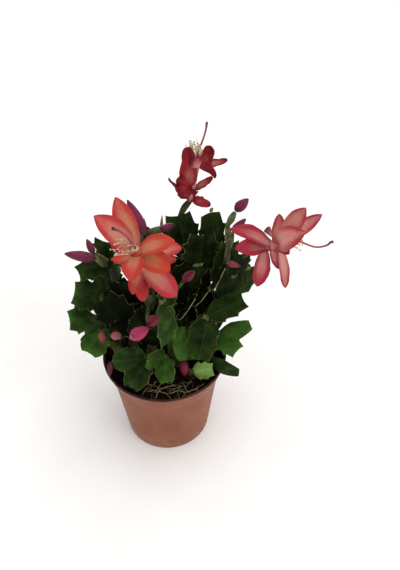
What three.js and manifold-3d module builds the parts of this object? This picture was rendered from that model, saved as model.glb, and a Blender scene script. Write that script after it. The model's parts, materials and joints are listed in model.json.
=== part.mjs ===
// Potted holiday cactus in flower: flat jointed leafy stems standing in the soil of a round
// terracotta-coloured nursery pot, with three open blooms and a number of buds.
// Millimetres, +Z up, origin at the middle of the pot's base.
import * as THREE from "three";
import Module from "manifold-3d";

const wasm = await Module();
wasm.setup();
const { Manifold, Mesh } = wasm;

// Pot: a 105 mm nursery pot.
const RIM_R = 52.5;
const BASE_R = 37.5;
const POT_H = 91;
const WALL = 1.3;
const FLOOR = 3;
const POT_SIDES = 36;
const DRAIN_R = 2.6;
const DRAIN_RING = 22;
const DRAINS = 4;
// Soil: its mean height, and the holes that the stems' pegs stand in.
const SOIL_Z = 82;
const SOIL_SIDES = 28;
const SOIL_R = 47.1;
const SOIL_LIFT = FLOOR + 0.3;
const CLODS = 7;
const PEG_R = 2.5;
const PEG_DEPTH = 16;
const HOLE_R = 3.4;
const ROOT_R = 0.62;
const ROOT_LIFT = 1.35;
// Leaves: half thickness at the edge and the rib, bow along the leaf, fall to its sides.
const EDGE = 0.4;
const RIB = 1.15;
const APEX = 0.9;
const BOW = 0.05;
const DROOP = 0.06;
const SINK = 3;
// Up to this width a joint is a woody one: half width of its foot, middle and end, and half thickness.
const WOODY_MOST = 16.5;
const WOODY = [0.5, 1, 0.6];
const WOODY_THICK = [1.8, 1.7, 1.2];
const WOODY_SINK = 2.5;
// Where the next joint or a bud starts along a leaf, and where a leaf ends under a bud.
const NEXT = 0.94;
const BUD_APEX = 1.03;
// Least room between a leaf and its neighbours.
const GAP = 0.4;
// Petals: half thickness, extra at the foot of the midrib, cupping across.
const BLADE = 0.42;
const MIDRIB = 0.2;
const CUP = 0.14;
const PETAL_ROOT = 1.2;
const NARROW_MOST = 10.5;
// Middle of a bloom: neck of the tube, ring of the stamens, threads.
const NECK = 2.4;
const NECK_R = 2.6;
const RING_LIFT = 0.35;
const RING_H = 1.6;
const RING_R = 2.4;
const RING_HOLE = 1.35;
const THREADS = 8;
const OVARY_GAP = 0.8;
// Buds: places along the bud and their share of its half thickness.
const BUD_PLACES = [0, 0.14, 0.42, 0.78, 1];
const BUD_SHAPE = [0.34, 0.7, 1, 0.68, 0.14];
const BUD_LEAST = 0.35;
// Facets flatter than this are joined.
const FLATNESS = 0.17;

const TAU = Math.PI * 2;
const rad = (a) => (a * Math.PI) / 180;
const add = (a, b) => [a[0] + b[0], a[1] + b[1], a[2] + b[2]];
const sub = (a, b) => [a[0] - b[0], a[1] - b[1], a[2] - b[2]];
const mul = (a, k) => [a[0] * k, a[1] * k, a[2] * k];
const dot = (a, b) => a[0] * b[0] + a[1] * b[1] + a[2] * b[2];
const len = (a) => Math.sqrt(dot(a, a));
const unit = (a) => mul(a, 1 / len(a));
const cross = (a, b) => [
  a[1] * b[2] - a[2] * b[1],
  a[2] * b[0] - a[0] * b[2],
  a[0] * b[1] - a[1] * b[0],
];
const along = (p, d, k) => add(p, mul(d, k));
const lerp = (a, b, t) => add(mul(a, 1 - t), mul(b, t));
const turn = (v, k, a) =>
  add(add(mul(v, Math.cos(a)), mul(cross(k, v), Math.sin(a))), mul(k, dot(k, v) * (1 - Math.cos(a))));

let seed = 20261;
function random() {
  seed = (Math.imul(seed, 1664525) + 1013904223) >>> 0;
  return seed / 4294967296;
}

// Each stem: root x, y in the soil, then its joints as [parent, x, y, z, width, roll].
const STEMS = {
  bloom_left: [-8, -9, [[-1, -9, -11, 112, 12, 0], [0, -11, -15, 138, 18, 0], [1, -8, -13, 156, 20, 0],
    [2, -7, -9, 170, 10, 0], [2, -18, -46, 161, 17, 0], [2, -7, -40, 167, 11, 20]]],
  bloom_right: [30, 9, [[-1, 37, 10, 114, 12, 0], [0, 48, 12, 140, 22, 0], [1, 57, 14, 166, 26, 0],
    [2, 63, 13, 188, 20, 0]]],
  bloom_top: [-2, 26, [[-1, 2, 25, 116, 12, 0], [0, 14, 21, 148, 25, 0], [1, 19, 22, 178, 29, 0],
    [2, 13, 38, 207, 30, 0]]],
  front_left: [-16, -18, [[-1, -13, -24, 111, 12, 0], [0, -38, -32, 115, 20, 15],
    [0, -25, -46, 98, 21, -10]]],
  front: [0, -20, [[-1, 1, -22, 110, 12, 20], [0, -12, -36, 120, 18, 0], [0, 1, -41, 98, 17, 10]]],
  front_right_low: [24, -20, [[-1, 24, -27, 97, 10, 0], [0, 41, -30, 95, 19, 20]]],
  right_low: [36, -8, [[-1, 37, -18, 102, 12, 0], [0, 61, -33, 102, 16, 65]]],
  right: [39, 2, [[-1, 46, -3, 113, 12, 0], [0, 61, -17, 109, 20, 0], [0, 71, -2, 125, 16, -10]]],
  right_arch: [18, 2, [[-1, 23, -3, 118, 12, 0], [0, 36, -10, 144, 20, 0], [1, 28, -31, 113, 28, 0],
    [1, 66, 3, 149, 20, -20]]],
  centre_low: [10, -8, [[-1, 7, -13, 118, 11, 0], [0, 15, -14, 133, 13, 70], [1, 10, -26, 109, 16, 0]]],
  centre_edge: [4, 4, [[-1, 4, -1, 116, 12, 0], [0, 12, -7, 140, 18, 60], [1, 28, -7, 165, 20, 75]]],
  centre_long: [20, 14, [[-1, 22, 9, 114, 12, 60], [0, 24, 4, 144, 18, 70], [1, 38, 3, 161, 18, 75],
    [2, 54, 4, 179, 17, 75]]],
  front_hang: [-10, 3, [[-1, -9, -1, 116, 12, 0], [0, -3, -8, 146, 20, 30], [1, 3, -12, 168, 19, 50],
    [2, 2, -24, 172, 17, 25], [3, -5, -32, 134, 19, -35], [2, 18, -15, 185, 14, 70]]],
  left_low: [-31, -14, [[-1, -38, -10, 112, 12, 0], [0, -50, -9, 126, 20, 0], [1, -59, -24, 114, 26, 0],
    [0, -46, -19, 123, 10, 0]]],
  left_out: [-38, -2, [[-1, -43, 0, 114, 12, 0], [0, -56, -2, 134, 24, 0], [1, -74, -9, 137, 24, 10]]],
  left_mid: [-36, 8, [[-1, -40, 9, 120, 12, 0], [0, -49, 6, 150, 26, 0], [1, -69, 1, 158, 26, 0],
    [0, -50, 20, 162, 22, 0]]],
  left_high: [-28, 20, [[-1, -33, 21, 118, 12, 0], [0, -40, 21, 148, 24, 0], [1, -45, 16, 172, 25, 0],
    [2, -65, 12, 163, 22, 10], [2, -44, 20, 195, 24, 0], [2, -48, 5, 189, 10, 30], [2, -50, 12, 188, 9, 30],
    [1, -33, 8, 179, 24, 0]]],
  dark_left: [-22, 0, [[-1, -26, -4, 114, 12, 0], [0, -30, -9, 142, 26, 0], [1, -49, -6, 155, 33, 0],
    [1, -34, -36, 150, 18, 0]]],
  dark_mid: [-18, 12, [[-1, -19, 9, 116, 12, 0], [0, -21, 2, 148, 27, 0], [1, -36, -4, 170, 33, 0],
    [1, -43, 2, 163, 24, 0]]],
  centre_big: [8, 15, [[-1, 12, 13, 118, 12, 0], [0, 20, 11, 150, 22, 20], [1, 33, 5, 178, 26, 0],
    [2, 32, 18, 203, 32, 0]]],
  centre_dark: [-4, 14, [[-1, -2, 12, 118, 12, 0], [0, 3, 9, 152, 25, 0], [1, 8, 12, 184, 33, 0]]],
  top_mid: [10, 27, [[-1, 13, 26, 118, 12, 0], [0, 24, 27, 150, 24, 0], [1, 38, 30, 177, 26, 0],
    [2, 38, 38, 206, 25, 0], [0, 29, 31, 122, 22, 0]]],
  top_right: [21, 23, [[-1, 28, 23, 114, 12, 0], [0, 40, 27, 148, 22, 50], [1, 45, 33, 182, 10, 20],
    [2, 50, 38, 197, 6.6, 0], [3, 57, 42, 205, 6.2, 0], [2, 55, 31, 194, 6, 0], [1, 54, 32, 185, 24, 0]]],
  right_mid: [34, 19, [[-1, 42, 17, 112, 12, 30], [0, 58, 27, 134, 24, 0], [1, 69, 25, 165, 22, 0],
    [1, 51, 24, 170, 24, 0], [2, 67, 20, 136, 18, 0]]],
  top_left: [-14, 24, [[-1, -14, 19, 118, 12, 0], [0, -15, 16, 150, 25, 0], [1, -14, 17, 182, 27, 0],
    [2, -13, 21, 203, 25, 0], [2, 1, 19, 200, 13, 0], [2, -1, 31, 190, 9, 0]]],
};
// Arching stems round the back: [root x, root y, heading, reach, height].
const BACK = [
  [-23, 32, 124, 62, 150],
  [-12, 37, 104, 46, 178],
  [0, 39, 88, 66, 148],
  [12, 37, 70, 50, 176],
  [24, 31, 50, 64, 150],
];
BACK.forEach(([x, y, heading, reach, height], i) => {
  const out = (r, z, swing, w, roll) => {
    const a = rad(heading + swing);
    return [r * Math.cos(a), r * Math.sin(a), z, w, roll];
  };
  STEMS["back_" + (i + 1)] = [x, y, [
    [-1, ...out(42, 114, 0, 12, 0)],
    [0, ...out(reach - 12, height - 8, -3, 23, 20)],
    [1, ...out(reach + 8, height + 12, 14, 25, -10)],
    [1, ...out(reach + 14, height - 22, -14, 24, 10)],
    ...(i % 2 ? [] : [[0, ...out(reach, 110, 4, 22, 0)]]),
  ]];
});

// Each bud: stem and joint it grows from, tip x, y, z, thickness.
const BUDS = {
  bud_left_long: ["left_high", 5, -69, 0, 198, 8.4],
  bud_left_small: ["left_high", 6, -55, 16, 199, 5.6],
  bud_behind_bloom: ["top_left", 3, -22, 19, 232, 9],
  bud_upper: ["top_left", 4, 11, 13, 215, 6],
  bud_thin: ["top_left", 5, 1, 35, 207, 2.8],
  bud_right_tall: ["top_right", 4, 67, 44, 216, 8.6],
  bud_right_side: ["top_right", 5, 65, 32, 206, 6],
  bud_tiny: ["top_mid", 3, 40, 41, 210, 3.2],
  bud_middle: ["front_hang", 5, 26, -19, 198, 7.2],
  bud_right_low: ["centre_long", 3, 60, 1, 185, 5.2],
  bud_pink_upper: ["bloom_left", 5, 1, -47, 180, 8.4],
  bud_pink_lower: ["bloom_left", 4, -6, -53, 175, 9.6],
  bud_rosy: ["dark_left", 3, -26, -50, 164, 6.4],
  bud_dull: ["left_low", 3, -47, -19, 136, 6],
  bud_crimson: ["centre_low", 2, 18, -32, 96, 8],
  bud_soil: ["front_left", 1, -41, -39, 105, 4.6],
  bud_back: ["back_3", 2, -17, 86, 157, 7],
};

// Each bloom: foot and throat of its tube, tip of its style, middle of its anthers, then its
// petals as [place along the tube, tip x, y, z, width, bow, twist].
const BLOOMS = {
  bloom_left: {
    foot: [-9, -14, 178], throat: [-11, -42, 235], tube: [2.6, 4.2],
    style: [-20, -64, 270], anthers: [-19, -57, 250],
    petals: [
      [0.97, -34, -44, 264, 16, 0.06, 0], [0.95, -22, -30, 268, 14, 0.06, 0],
      [0.95, 14, -44, 245, 13.5, 0.1, 0], [0.9, 18, -30, 228, 13, 0.06, 0],
      [0.93, 11, -50, 225, 16, 0.12, 0], [0.86, 14, -32, 219, 10, 0.06, 0],
      [0.7, 14, -26, 189, 15, 0.06, 0], [0.6, 14, -40, 193, 16, 0.12, 0],
      [0.96, -13, -62, 227, 14, 0.16, 0], [0.5, -9, -46, 194, 10, 0.1, 0],
      [0.56, -15, -48, 203, 9.5, 0.1, 0], [0.85, -25, -54, 238, 9, 0.16, -35],
      [0.8, -28, -34, 238, 12, 0.1, 0], [0.7, -6, -8, 201, 12, 0.1, 0],
    ],
  },
  bloom_right: {
    foot: [73, 9, 195], throat: [93, 1, 207], tube: [2.6, 4],
    style: [126, 0, 209], anthers: [102, -1, 209],
    petals: [
      [0.5, 52, 8, 215, 13.5, 0.08, 0], [0.3, 55, -6, 208, 12.5, 0.08, 0],
      [0.22, 73, -6, 171, 13, 0.05, 45], [0.6, 87, 12, 225, 9, 0.08, -55],
      [0.7, 102, -2, 240, 14, -0.05, 70], [0.7, 118, 14, 223, 11, -0.06, -25],
      [0.8, 101, -16, 230, 17, -0.3, 10], [0.5, 84, -14, 217, 9, -0.1, 0], [0.75, 95, -3, 167, 8, 0.05, 50],
      [0.45, 90, -2, 185, 9, 0.05, 45], [0.5, 80, 32, 194, 12, 0.12, 0], [0.5, 92, -16, 213, 7, 0.1, -30],
    ],
  },
  bloom_top: {
    foot: [22, 42, 216], throat: [27, 44, 247], tube: [2.6, 3.4],
    style: [35, 44, 280], anthers: [26, 42, 263],
    petals: [
      [0.2, 21, 34, 266, 13.5, -0.04, 58], [0.1, 14, 32, 235, 11, -0.08, 60],
      [0.26, 7, 40, 237, 5, -0.14, 30], [0.3, 39, 40, 238, 6, -0.1, 60], [0.95, 39, 46, 259, 12, -0.2, 40],
      [0.95, 42, 39, 239, 8, 0.16, -75], [0.92, 50, 44, 250, 6.5, -0.1, 50],
      [0.9, 27, 30, 260, 10, -0.1, 40], [0.05, 38, 38, 214, 7.5, 0.16, 50],
      [0.1, 15, 34, 242, 10, -0.05, 60], [0.5, 19, 56, 232, 9, 0.2, 0],
    ],
  },
};

// Half outline of a flat leaf: place along it, half width. The last point is the notch at its end.
const LEAF = [[0, 0.16], [0.34, 1], [0.42, 0.84], [0.67, 1], [0.74, 0.8], [1, 0.62], [0.94, 0]];
const RIBS = [0, 0.34, 0.7];
const LAST_EDGE = LEAF.length - 2;
// The rounder lobes of the young leaves in front.
const LOBED = [[0, 0.16], [0.3, 0.98], [0.42, 0.9], [0.66, 1], [0.75, 0.88], [0.98, 0.5], [0.97, 0]];
const YOUNG = ["front_left", "front", "front_right_low", "left_low", "centre_low"];
// The same for a petal: wide, narrow or withered.
const PETAL = [[0, 0.46], [0.25, 0.81], [0.55, 1], [0.83, 0.72], [1, 0.1]];
const NARROW = [[0, 0.42], [0.38, 0.95], [0.75, 0.9], [1, 0.26]];
const WORN = [[0, 0.42], [0.35, 1], [0.72, 0.82], [1, 0.4]];
// The room that a leaf and a petal take.
const HULL = [[0, 0.3], [0.2, 0.85], [0.37, 1], [0.7, 1], [1, 0.66]];
const PETAL_HULL = [[0, 0.34], [0.25, 0.74], [0.55, 1], [0.83, 0.72], [1, 0.1]];

function widthAt(table, u) {
  for (let i = 1; i < table.length; i++) {
    if (u <= table[i][0] || i === table.length - 1) {
      const [u0, w0] = table[i - 1];
      const [u1, w1] = table[i];
      return w0 + (w1 - w0) * Math.min(1, Math.max(0, (u - u0) / (u1 - u0)));
    }
  }
  return 0;
}

// A closed solid from vertices and triangles, turned outward.
function solid(verts, tris) {
  const make = (list) =>
    new Manifold(
      new Mesh({
        numProp: 3,
        vertProperties: new Float32Array(verts.flat()),
        triVerts: new Uint32Array(list.flat()),
      }),
    );
  const made = make(tris);
  return made.volume() > 0 ? made : make(tris.map(([a, b, c]) => [a, c, b]));
}

// A tube through a row of points, each ring an ellipse with its own half axes.
function tube(points, radii, sides, side0) {
  const verts = [];
  const tris = [];
  let s = side0;
  points.forEach((p, i) => {
    const d = unit(sub(points[Math.min(i + 1, points.length - 1)], points[Math.max(i - 1, 0)]));
    s = s || cross(d, Math.abs(d[2]) < 0.8 ? [0, 0, 1] : [1, 0, 0]);
    s = unit(sub(s, mul(d, dot(s, d))));
    const n = cross(s, d);
    const [a, b] = Array.isArray(radii[i]) ? radii[i] : [radii[i], radii[i]];
    for (let k = 0; k < sides; k++) {
      const t = (TAU * k) / sides;
      verts.push(add(p, add(mul(s, a * Math.cos(t)), mul(n, b * Math.sin(t)))));
    }
  });
  for (let i = 0; i + 1 < points.length; i++) {
    for (let k = 0; k < sides; k++) {
      const a = i * sides + k;
      const b = i * sides + ((k + 1) % sides);
      tris.push([a, b, b + sides], [a, b + sides, a + sides]);
    }
  }
  const last = (points.length - 1) * sides;
  for (let k = 1; k + 1 < sides; k++) tris.push([0, k + 1, k], [last, last + k, last + k + 1]);
  return solid(verts, tris);
}

// Frame of a leaf from its foot to its tip: direction, side, face and length.
function frameOf(b, t, roll, back) {
  const d = unit(sub(t, b));
  const mid = lerp(b, t, 0.5);
  const r = Math.max(Math.hypot(mid[0], mid[1]), 1);
  const face = back
    ? [(mid[0] / r) * 0.75, (mid[1] / r) * 0.75, 0.75]
    : [(mid[0] / r) * 0.5, Math.min(mid[1] / r, 0) * 0.7 - 0.6, 0.7];
  const n0 = unit(sub(face, mul(d, dot(face, d))));
  const n = turn(n0, d, rad(roll));
  return { b, d, n, s: cross(n, d), l: len(sub(t, b)) };
}

// Point on the middle surface of a leaf: place along it, distance from its rib.
function onLeaf(f, u, v) {
  const h = BOW * f.l * 4 * u * (1 - u) - (DROOP * v * v * 2) / f.w;
  return along(along(along(f.b, f.d, f.l * u), f.s, v), f.n, h);
}

// The lowest joint of a stem: a round peg in the soil that flattens as it rises.
function footSolid(f, x, y) {
  const pts = [[x, y, SOIL_Z - PEG_DEPTH], [x, y, SOIL_Z + 1.5], onLeaf(f, 0.5, 0), onLeaf(f, 1, 0)];
  return tube(pts, [PEG_R, PEG_R, [f.w / 2, 1.8], [f.w * 0.3, 1.3]], 6, f.s);
}

// A narrow joint: a flattened woody rod whose foot is sunk in the joint below.
function woodySolid(f) {
  const pts = [0, 0.5, 1].map((u) => onLeaf(f, u, 0));
  const radii = WOODY.map((k, i) => [(k * f.w) / 2, WOODY_THICK[i]]);
  return tube([along(pts[0], f.d, -WOODY_SINK), ...pts.slice(1)], radii, 4, f.s);
}

// A flat leaf with toothed edges and a raised rib on both faces.
function leafSolid(f) {
  const verts = [];
  const put = (u, v, t) => {
    const p = onLeaf(f, u, v);
    verts.push(along(p, f.n, t), along(p, f.n, -t));
    return verts.length - 2;
  };
  const sunk = (u) => (u ? u : -SINK / f.l);
  const rib = RIBS.map((u) => put(sunk(u), 0, RIB));
  const apex = put(f.apex, 0, APEX);
  const tris = [];
  const table = f.young ? LOBED : LEAF;
  for (const side of [1, -1]) {
    const outline = table.slice(0, LAST_EDGE + 1);
    const edge = outline.map(([u, w]) => put(sunk(u), (side * w * f.w) / 2, EDGE));
    const strip = [];
    let i = 0;
    let j = 0;
    while (i < LAST_EDGE || j < 2) {
      const stepEdge = j === 2 || (i < LAST_EDGE && table[i + 1][0] <= RIBS[j + 1]);
      strip.push(stepEdge ? [edge[i], edge[i + 1], rib[j]] : [edge[i], rib[j + 1], rib[j]]);
      i += stepEdge ? 1 : 0;
      j += stepEdge ? 0 : 1;
    }
    strip.push([edge[LAST_EDGE], apex, rib[2]]);
    const rim = [rib[0], ...edge, apex];
    const turned = side > 0 ? strip : strip.map(([a, b, c]) => [a, c, b]);
    turned.forEach(([a, b, c]) => tris.push([a, b, c], [a + 1, c + 1, b + 1]));
    rim.slice(1).forEach((q, k) => {
      const p = rim[k];
      const wall = [[p, p + 1, q + 1], [p, q + 1, q]];
      wall.forEach(([a, b, c]) => tris.push(side > 0 ? [a, b, c] : [a, c, b]));
    });
  }
  return solid(verts, tris);
}

// Places already taken: small balls for blooms, buds and the rim, flat plates for leaves.
const balls = [];
const plates = [];
const RIM_BALLS = 110;
for (let k = 0; k < RIM_BALLS; k++) {
  const a = (TAU * k) / RIM_BALLS;
  const p = [(RIM_R - 0.9) * Math.cos(a), (RIM_R - 0.9) * Math.sin(a), POT_H - 1.2];
  balls.push({ p, r: 1.9, owner: "pot" });
}

const SAMPLES = [];
for (let i = 0; i <= 12; i++) {
  for (let j = -3; j <= 3; j++) SAMPLES.push([i / 12, j / 3]);
}
const samplesOf = (f) => SAMPLES.map(([u, k]) => onLeaf(f, u, (k * widthAt(HULL, u) * f.w) / 2));

// True when a ball at p of radius r is too near the leaf's middle surface.
function near(f, p, r, reach) {
  const q = sub(p, f.b);
  const u = dot(q, f.d) / f.l;
  const m = (reach + r) / f.l;
  if (u < -m || u > 1 + m) return false;
  const v = dot(q, f.s);
  const uc = Math.min(1, Math.max(0, u));
  if (Math.abs(v) > (widthAt(HULL, uc) * f.w) / 2 + reach + r) return false;
  const h = dot(q, f.n) - BOW * f.l * 4 * uc * (1 - uc) + (DROOP * v * v * 2) / f.w;
  return Math.abs(h) < r + f.th + GAP;
}

// How many samples of a leaf lie too near what is already placed, or in the soil.
function clashes(f, stem, first) {
  const pts = samplesOf(f);
  const mid = onLeaf(f, 0.5, 0);
  const reach = f.l / 2 + f.w / 2;
  let hits = 0;
  for (const o of balls) {
    if (o.owner === stem && !o.fixed) continue;
    if (len(sub(o.p, mid)) > reach + 6 + o.r) continue;
    if (near(f, o.p, o.r, 0.6)) hits++;
  }
  for (const o of plates) {
    if (o.stem === stem) continue;
    if (len(sub(o.mid, mid)) > reach + o.reach + 5) continue;
    for (const p of pts) {
      if (near(o, p, f.th, 0.5)) hits++;
    }
    for (const p of o.pts) {
      if (near(f, p, o.th, 0.5)) hits++;
    }
  }
  for (const p of pts) {
    if (p[2] < SOIL_Z + 4 && Math.hypot(p[0], p[1]) < RIM_R && !first) hits++;
  }
  return hits;
}

const SWING = [0, 7, -7, 14, -14, 21, -21, 28, -28];
const ROLLS = [0, 22, -22, 44, -44];
const TRIES = [];
for (const a of SWING) {
  for (const b of SWING) {
    for (const c of ROLLS) TRIES.push([a, b, c, Math.hypot(a, b) + 0.5 * Math.abs(c)]);
  }
}
TRIES.sort((p, q) => p[3] - q[3]);

// Blooms come first, as fixed places.
const fixedBall = (p, r, owner) => balls.push({ p, r, owner, fixed: true });
function rowOf(a, b, r, owner) {
  const n = Math.ceil(len(sub(b, a)) / 3);
  for (let i = 0; i <= n; i++) fixedBall(lerp(a, b, i / n), r, owner);
}

function petalFrame(bloom, row) {
  const [at, x, y, z, w, bow, twist] = row;
  const axis = unit(sub(bloom.throat, bloom.foot));
  const mid = lerp(bloom.foot, bloom.throat, at);
  const tip = [x, y, z];
  const aim = sub(tip, mid);
  const flat = sub(aim, mul(axis, dot(aim, axis)));
  const outward = unit(flat);
  const b = along(mid, outward, PETAL_ROOT);
  const d = unit(sub(tip, b));
  const key = sub(axis, outward);
  const n0 = unit(sub(key, mul(d, dot(key, d))));
  const n = turn(n0, d, rad(twist));
  return { b, d, n, s: cross(n, d), l: len(sub(tip, b)), w, bow, worn: bloom === BLOOMS.bloom_top };
}
function onPetal(f, u, v) {
  const h = f.bow * f.l * 4 * u * (1 - u) + (CUP * v * v * 4) / f.w;
  return along(along(along(f.b, f.d, f.l * u), f.s, v), f.n, h);
}

function petalSolid(f) {
  const verts = [];
  const tris = [];
  const id = (i, j, k) => (i * 3 + j) * 2 + k;
  const table = f.worn ? WORN : f.w < NARROW_MOST ? NARROW : PETAL;
  const rows = table.length - 1;
  table.forEach(([u, w]) => {
    for (const j of [-1, 0, 1]) {
      const p = onPetal(f, u, (j * w * f.w) / 2);
      const t = BLADE + (j ? 0 : MIDRIB * (1 - u));
      verts.push(along(p, f.n, t), along(p, f.n, -t));
    }
  });
  for (let i = 0; i < rows; i++) {
    for (let j = 0; j < 2; j++) {
      const q = [id(i, j, 0), id(i, j + 1, 0), id(i + 1, j + 1, 0), id(i + 1, j, 0)];
      const cut = j === 0
        ? [[q[0], q[1], q[2]], [q[0], q[2], q[3]]]
        : [[q[0], q[1], q[3]], [q[1], q[2], q[3]]];
      cut.forEach(([a, b, c]) => tris.push([a, b, c], [a + 1, c + 1, b + 1]));
    }
  }
  const rim = [];
  for (let i = 0; i <= rows; i++) rim.push(id(i, 0, 0));
  rim.push(id(rows, 1, 0));
  for (let i = rows; i >= 0; i--) rim.push(id(i, 2, 0));
  rim.push(id(0, 1, 0));
  rim.forEach((p, k) => {
    const q = rim[(k + 1) % rim.length];
    tris.push([p, q, q + 1], [p, q + 1, p + 1]);
  });
  return solid(verts, tris);
}

const parts = {};
for (const [name, bloom] of Object.entries(BLOOMS)) {
  const axis = unit(sub(bloom.throat, bloom.foot));
  const [r0, r1] = bloom.tube;
  const neck = along(bloom.throat, axis, NECK);
  const core = tube(
    [...[0, 0.25, 0.7, 1].map((t) => lerp(bloom.foot, bloom.throat, t)), neck],
    [r0 * 0.8, r0, (r0 + r1) / 2, r1, NECK_R],
    8,
  );
  rowOf(bloom.foot, bloom.throat, r1, name);
  const blades = bloom.petals.map((row) => petalFrame(bloom, row));
  blades.forEach((f) => {
    for (let i = 0; i <= 8; i++) {
      const half = (widthAt(PETAL_HULL, i / 8) * f.w) / 4;
      for (let j = -2; j <= 2; j++) fixedBall(onPetal(f, i / 8, j * half), 0.9, name);
    }
  });
  parts[name + "_petals"] = Manifold.union([core, ...blades.map(petalSolid)]);

  // Stamens: a short ring at the throat with thin filaments that end in anthers.
  const seat = along(neck, axis, RING_LIFT);
  const ringTop = along(seat, axis, RING_H);
  const side = unit(cross(axis, [0.3, 0.2, 0.9]));
  const other = cross(axis, side);
  const ring = tube([seat, ringTop], [RING_R, RING_R], 8, side).subtract(
    tube([along(seat, axis, -1), along(ringTop, axis, 1)], [RING_HOLE, RING_HOLE], 6, side),
  );
  const hairs = [];
  for (let k = 0; k < THREADS; k++) {
    const a = (TAU * (k + 0.3 * random())) / THREADS;
    const ray = add(mul(side, Math.cos(a)), mul(other, Math.sin(a)));
    const start = along(along(seat, axis, 0.5), ray, 1.85);
    const end = add(along(bloom.anthers, ray, 3 + 3.2 * random()), mul(axis, 4 * random() - 2));
    const middle = along(lerp(start, end, 0.5), add(axis, ray), 1.8);
    hairs.push(tube([start, middle, lerp(middle, end, 0.88), end], [0.5, 0.45, 1, 0.5], 3, ray));
    rowOf(middle, end, 1, name);
  }
  parts[name + "_stamens"] = Manifold.union([ring, ...hairs]);

  // Style: a slender rod through the ring, with a small lobed head.
  const styleFoot = along(neck, axis, 0.4);
  const lift = along(neck, axis, 6);
  const sway = lerp(lift, bloom.style, 0.5);
  const head = [0.72, 0.9].map((t) => lerp(sway, bloom.style, t));
  const stylePts = [styleFoot, lift, sway, ...head, bloom.style];
  parts[name + "_style"] = tube(stylePts, [0.75, 0.7, 0.6, 0.65, 1.35, 0.8], 6);
  rowOf(styleFoot, bloom.style, 1, name);
}

// Leafy stems grow joint by joint; a leaf that would cross another one is turned until it is clear.
const tipsOf = {};
for (const [name, [x, y, joints]] of Object.entries(STEMS)) {
  const root = [x, y, SOIL_Z + 3];
  const tips = [];
  const solids = [];
  joints.forEach(([parent, px, py, pz, w, roll], k) => {
    const foot = parent < 0 ? root : tips[parent].end;
    const aim = [px, py, pz];
    const base = frameOf(foot, aim, roll, name.startsWith("back"));
    let best = null;
    for (const [a, b, c] of TRIES) {
      let d = turn(base.d, base.s, rad(a));
      d = turn(d, base.n, rad(b));
      const f = frameOf(foot, along(foot, d, base.l), roll + c, name.startsWith("back"));
      f.w = w;
      f.th = w <= WOODY_MOST ? WOODY_THICK[1] : APEX;
      const hits = clashes(f, name, parent < 0);
      if (!best || hits < best.hits) best = { f, hits };
      if (!hits) break;
    }
    const f = best.f;
    const budded = Object.values(BUDS).some((q) => q[0] === name && q[1] === k);
    f.apex = budded ? BUD_APEX : NEXT;
    if (w <= WOODY_MOST) f.apex = 1;
    f.end = onLeaf(f, NEXT, 0);
    f.stem = name;
    f.young = YOUNG.includes(name);
    f.mid = onLeaf(f, 0.5, 0);
    f.reach = f.l / 2 + f.w / 2;
    f.pts = samplesOf(f);
    tips.push(f);
    plates.push(f);
    if (parent < 0) solids.push(footSolid(f, x, y));
    else solids.push(w <= WOODY_MOST ? woodySolid(f) : leafSolid(f));
  });
  tipsOf[name] = tips;
  const bloom = BLOOMS[name];
  if (bloom) {
    const axis = unit(sub(bloom.throat, bloom.foot));
    const end = along(bloom.foot, axis, -OVARY_GAP);
    const from = tips[3].end;
    solids.push(tube([along(from, tips[3].d, -2), lerp(from, end, 0.55), along(end, axis, -0.6), end],
      [1.6, 2.6, 2.1, 1.6], 8));
  }
  for (const [bud, [stem, joint, bx, by, bz, w]] of Object.entries(BUDS)) {
    if (stem !== name) continue;
    const f = tips[joint];
    const tip = [bx, by, bz];
    const seat = onLeaf(f, f.apex, 0);
    const axis = unit(sub(tip, seat));
    const lean = Math.sqrt(Math.max(0, 1 - dot(axis, f.d) ** 2));
    const foot = along(seat, f.d, 0.45 + 0.2 * w * lean);
    const l = len(sub(tip, foot));
    const way = unit(sub(tip, foot));
    const rings = BUD_PLACES.map((t) => along(foot, way, l * t));
    parts[bud] = tube(rings, BUD_SHAPE.map((k) => Math.max(BUD_LEAST, (k * w) / 2)), 7);
    for (let i = 0; i <= 4; i++) {
      balls.push({ p: along(foot, way, (l * i) / 4), r: (w / 2) * [0.4, 0.9, 1, 0.75, 0.3][i], owner: name });
    }
  }
  parts["stem_" + name] = Manifold.union(solids);
}

// Height of the soil: a shallow rough mound.
function soilAt(x, y) {
  const r = Math.hypot(x, y);
  const rough = 0.55 * Math.sin(0.42 * x + 1.3) * Math.cos(0.37 * y) + 0.35 * Math.sin(0.9 * x - 0.7 * y);
  return SOIL_Z - 1.2 + rough - 1.6 * (r / 47) ** 4;
}
function soilBody() {
  const sides = SOIL_SIDES;
  const top = [12, 24, 36, SOIL_R];
  const verts = [[0, 0, soilAt(0, 0)], [0, 0, SOIL_LIFT]];
  for (const r of top) {
    for (let k = 0; k < sides; k++) {
      const a = (TAU * k) / sides;
      verts.push([r * Math.cos(a), r * Math.sin(a), soilAt(r * Math.cos(a), r * Math.sin(a))]);
    }
  }
  for (const [r, z] of [[SOIL_R, 77.9], [SOIL_R - 2.4, 76.7], [BASE_R - WALL - 0.5, SOIL_LIFT]]) {
    for (let k = 0; k < sides; k++) {
      const a = (TAU * k) / sides;
      verts.push([r * Math.cos(a), r * Math.sin(a), z]);
    }
  }
  const tris = [];
  const id = (i, k) => 2 + i * sides + (k % sides);
  for (let k = 0; k < sides; k++) {
    tris.push([0, id(0, k), id(0, k + 1)]);
    for (let i = 0; i < 6; i++) {
      tris.push([id(i, k), id(i + 1, k), id(i + 1, k + 1)], [id(i, k), id(i + 1, k + 1), id(i, k + 1)]);
    }
    tris.push([1, id(6, k + 1), id(6, k)]);
  }
  return solid(verts, tris);
}
const holes = Object.values(STEMS).map(([x, y]) =>
  tube([[x, y, SOIL_Z - PEG_DEPTH - 0.4], [x, y, SOIL_Z + 8]], [HOLE_R, HOLE_R], 6));
const clods = [];
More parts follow.
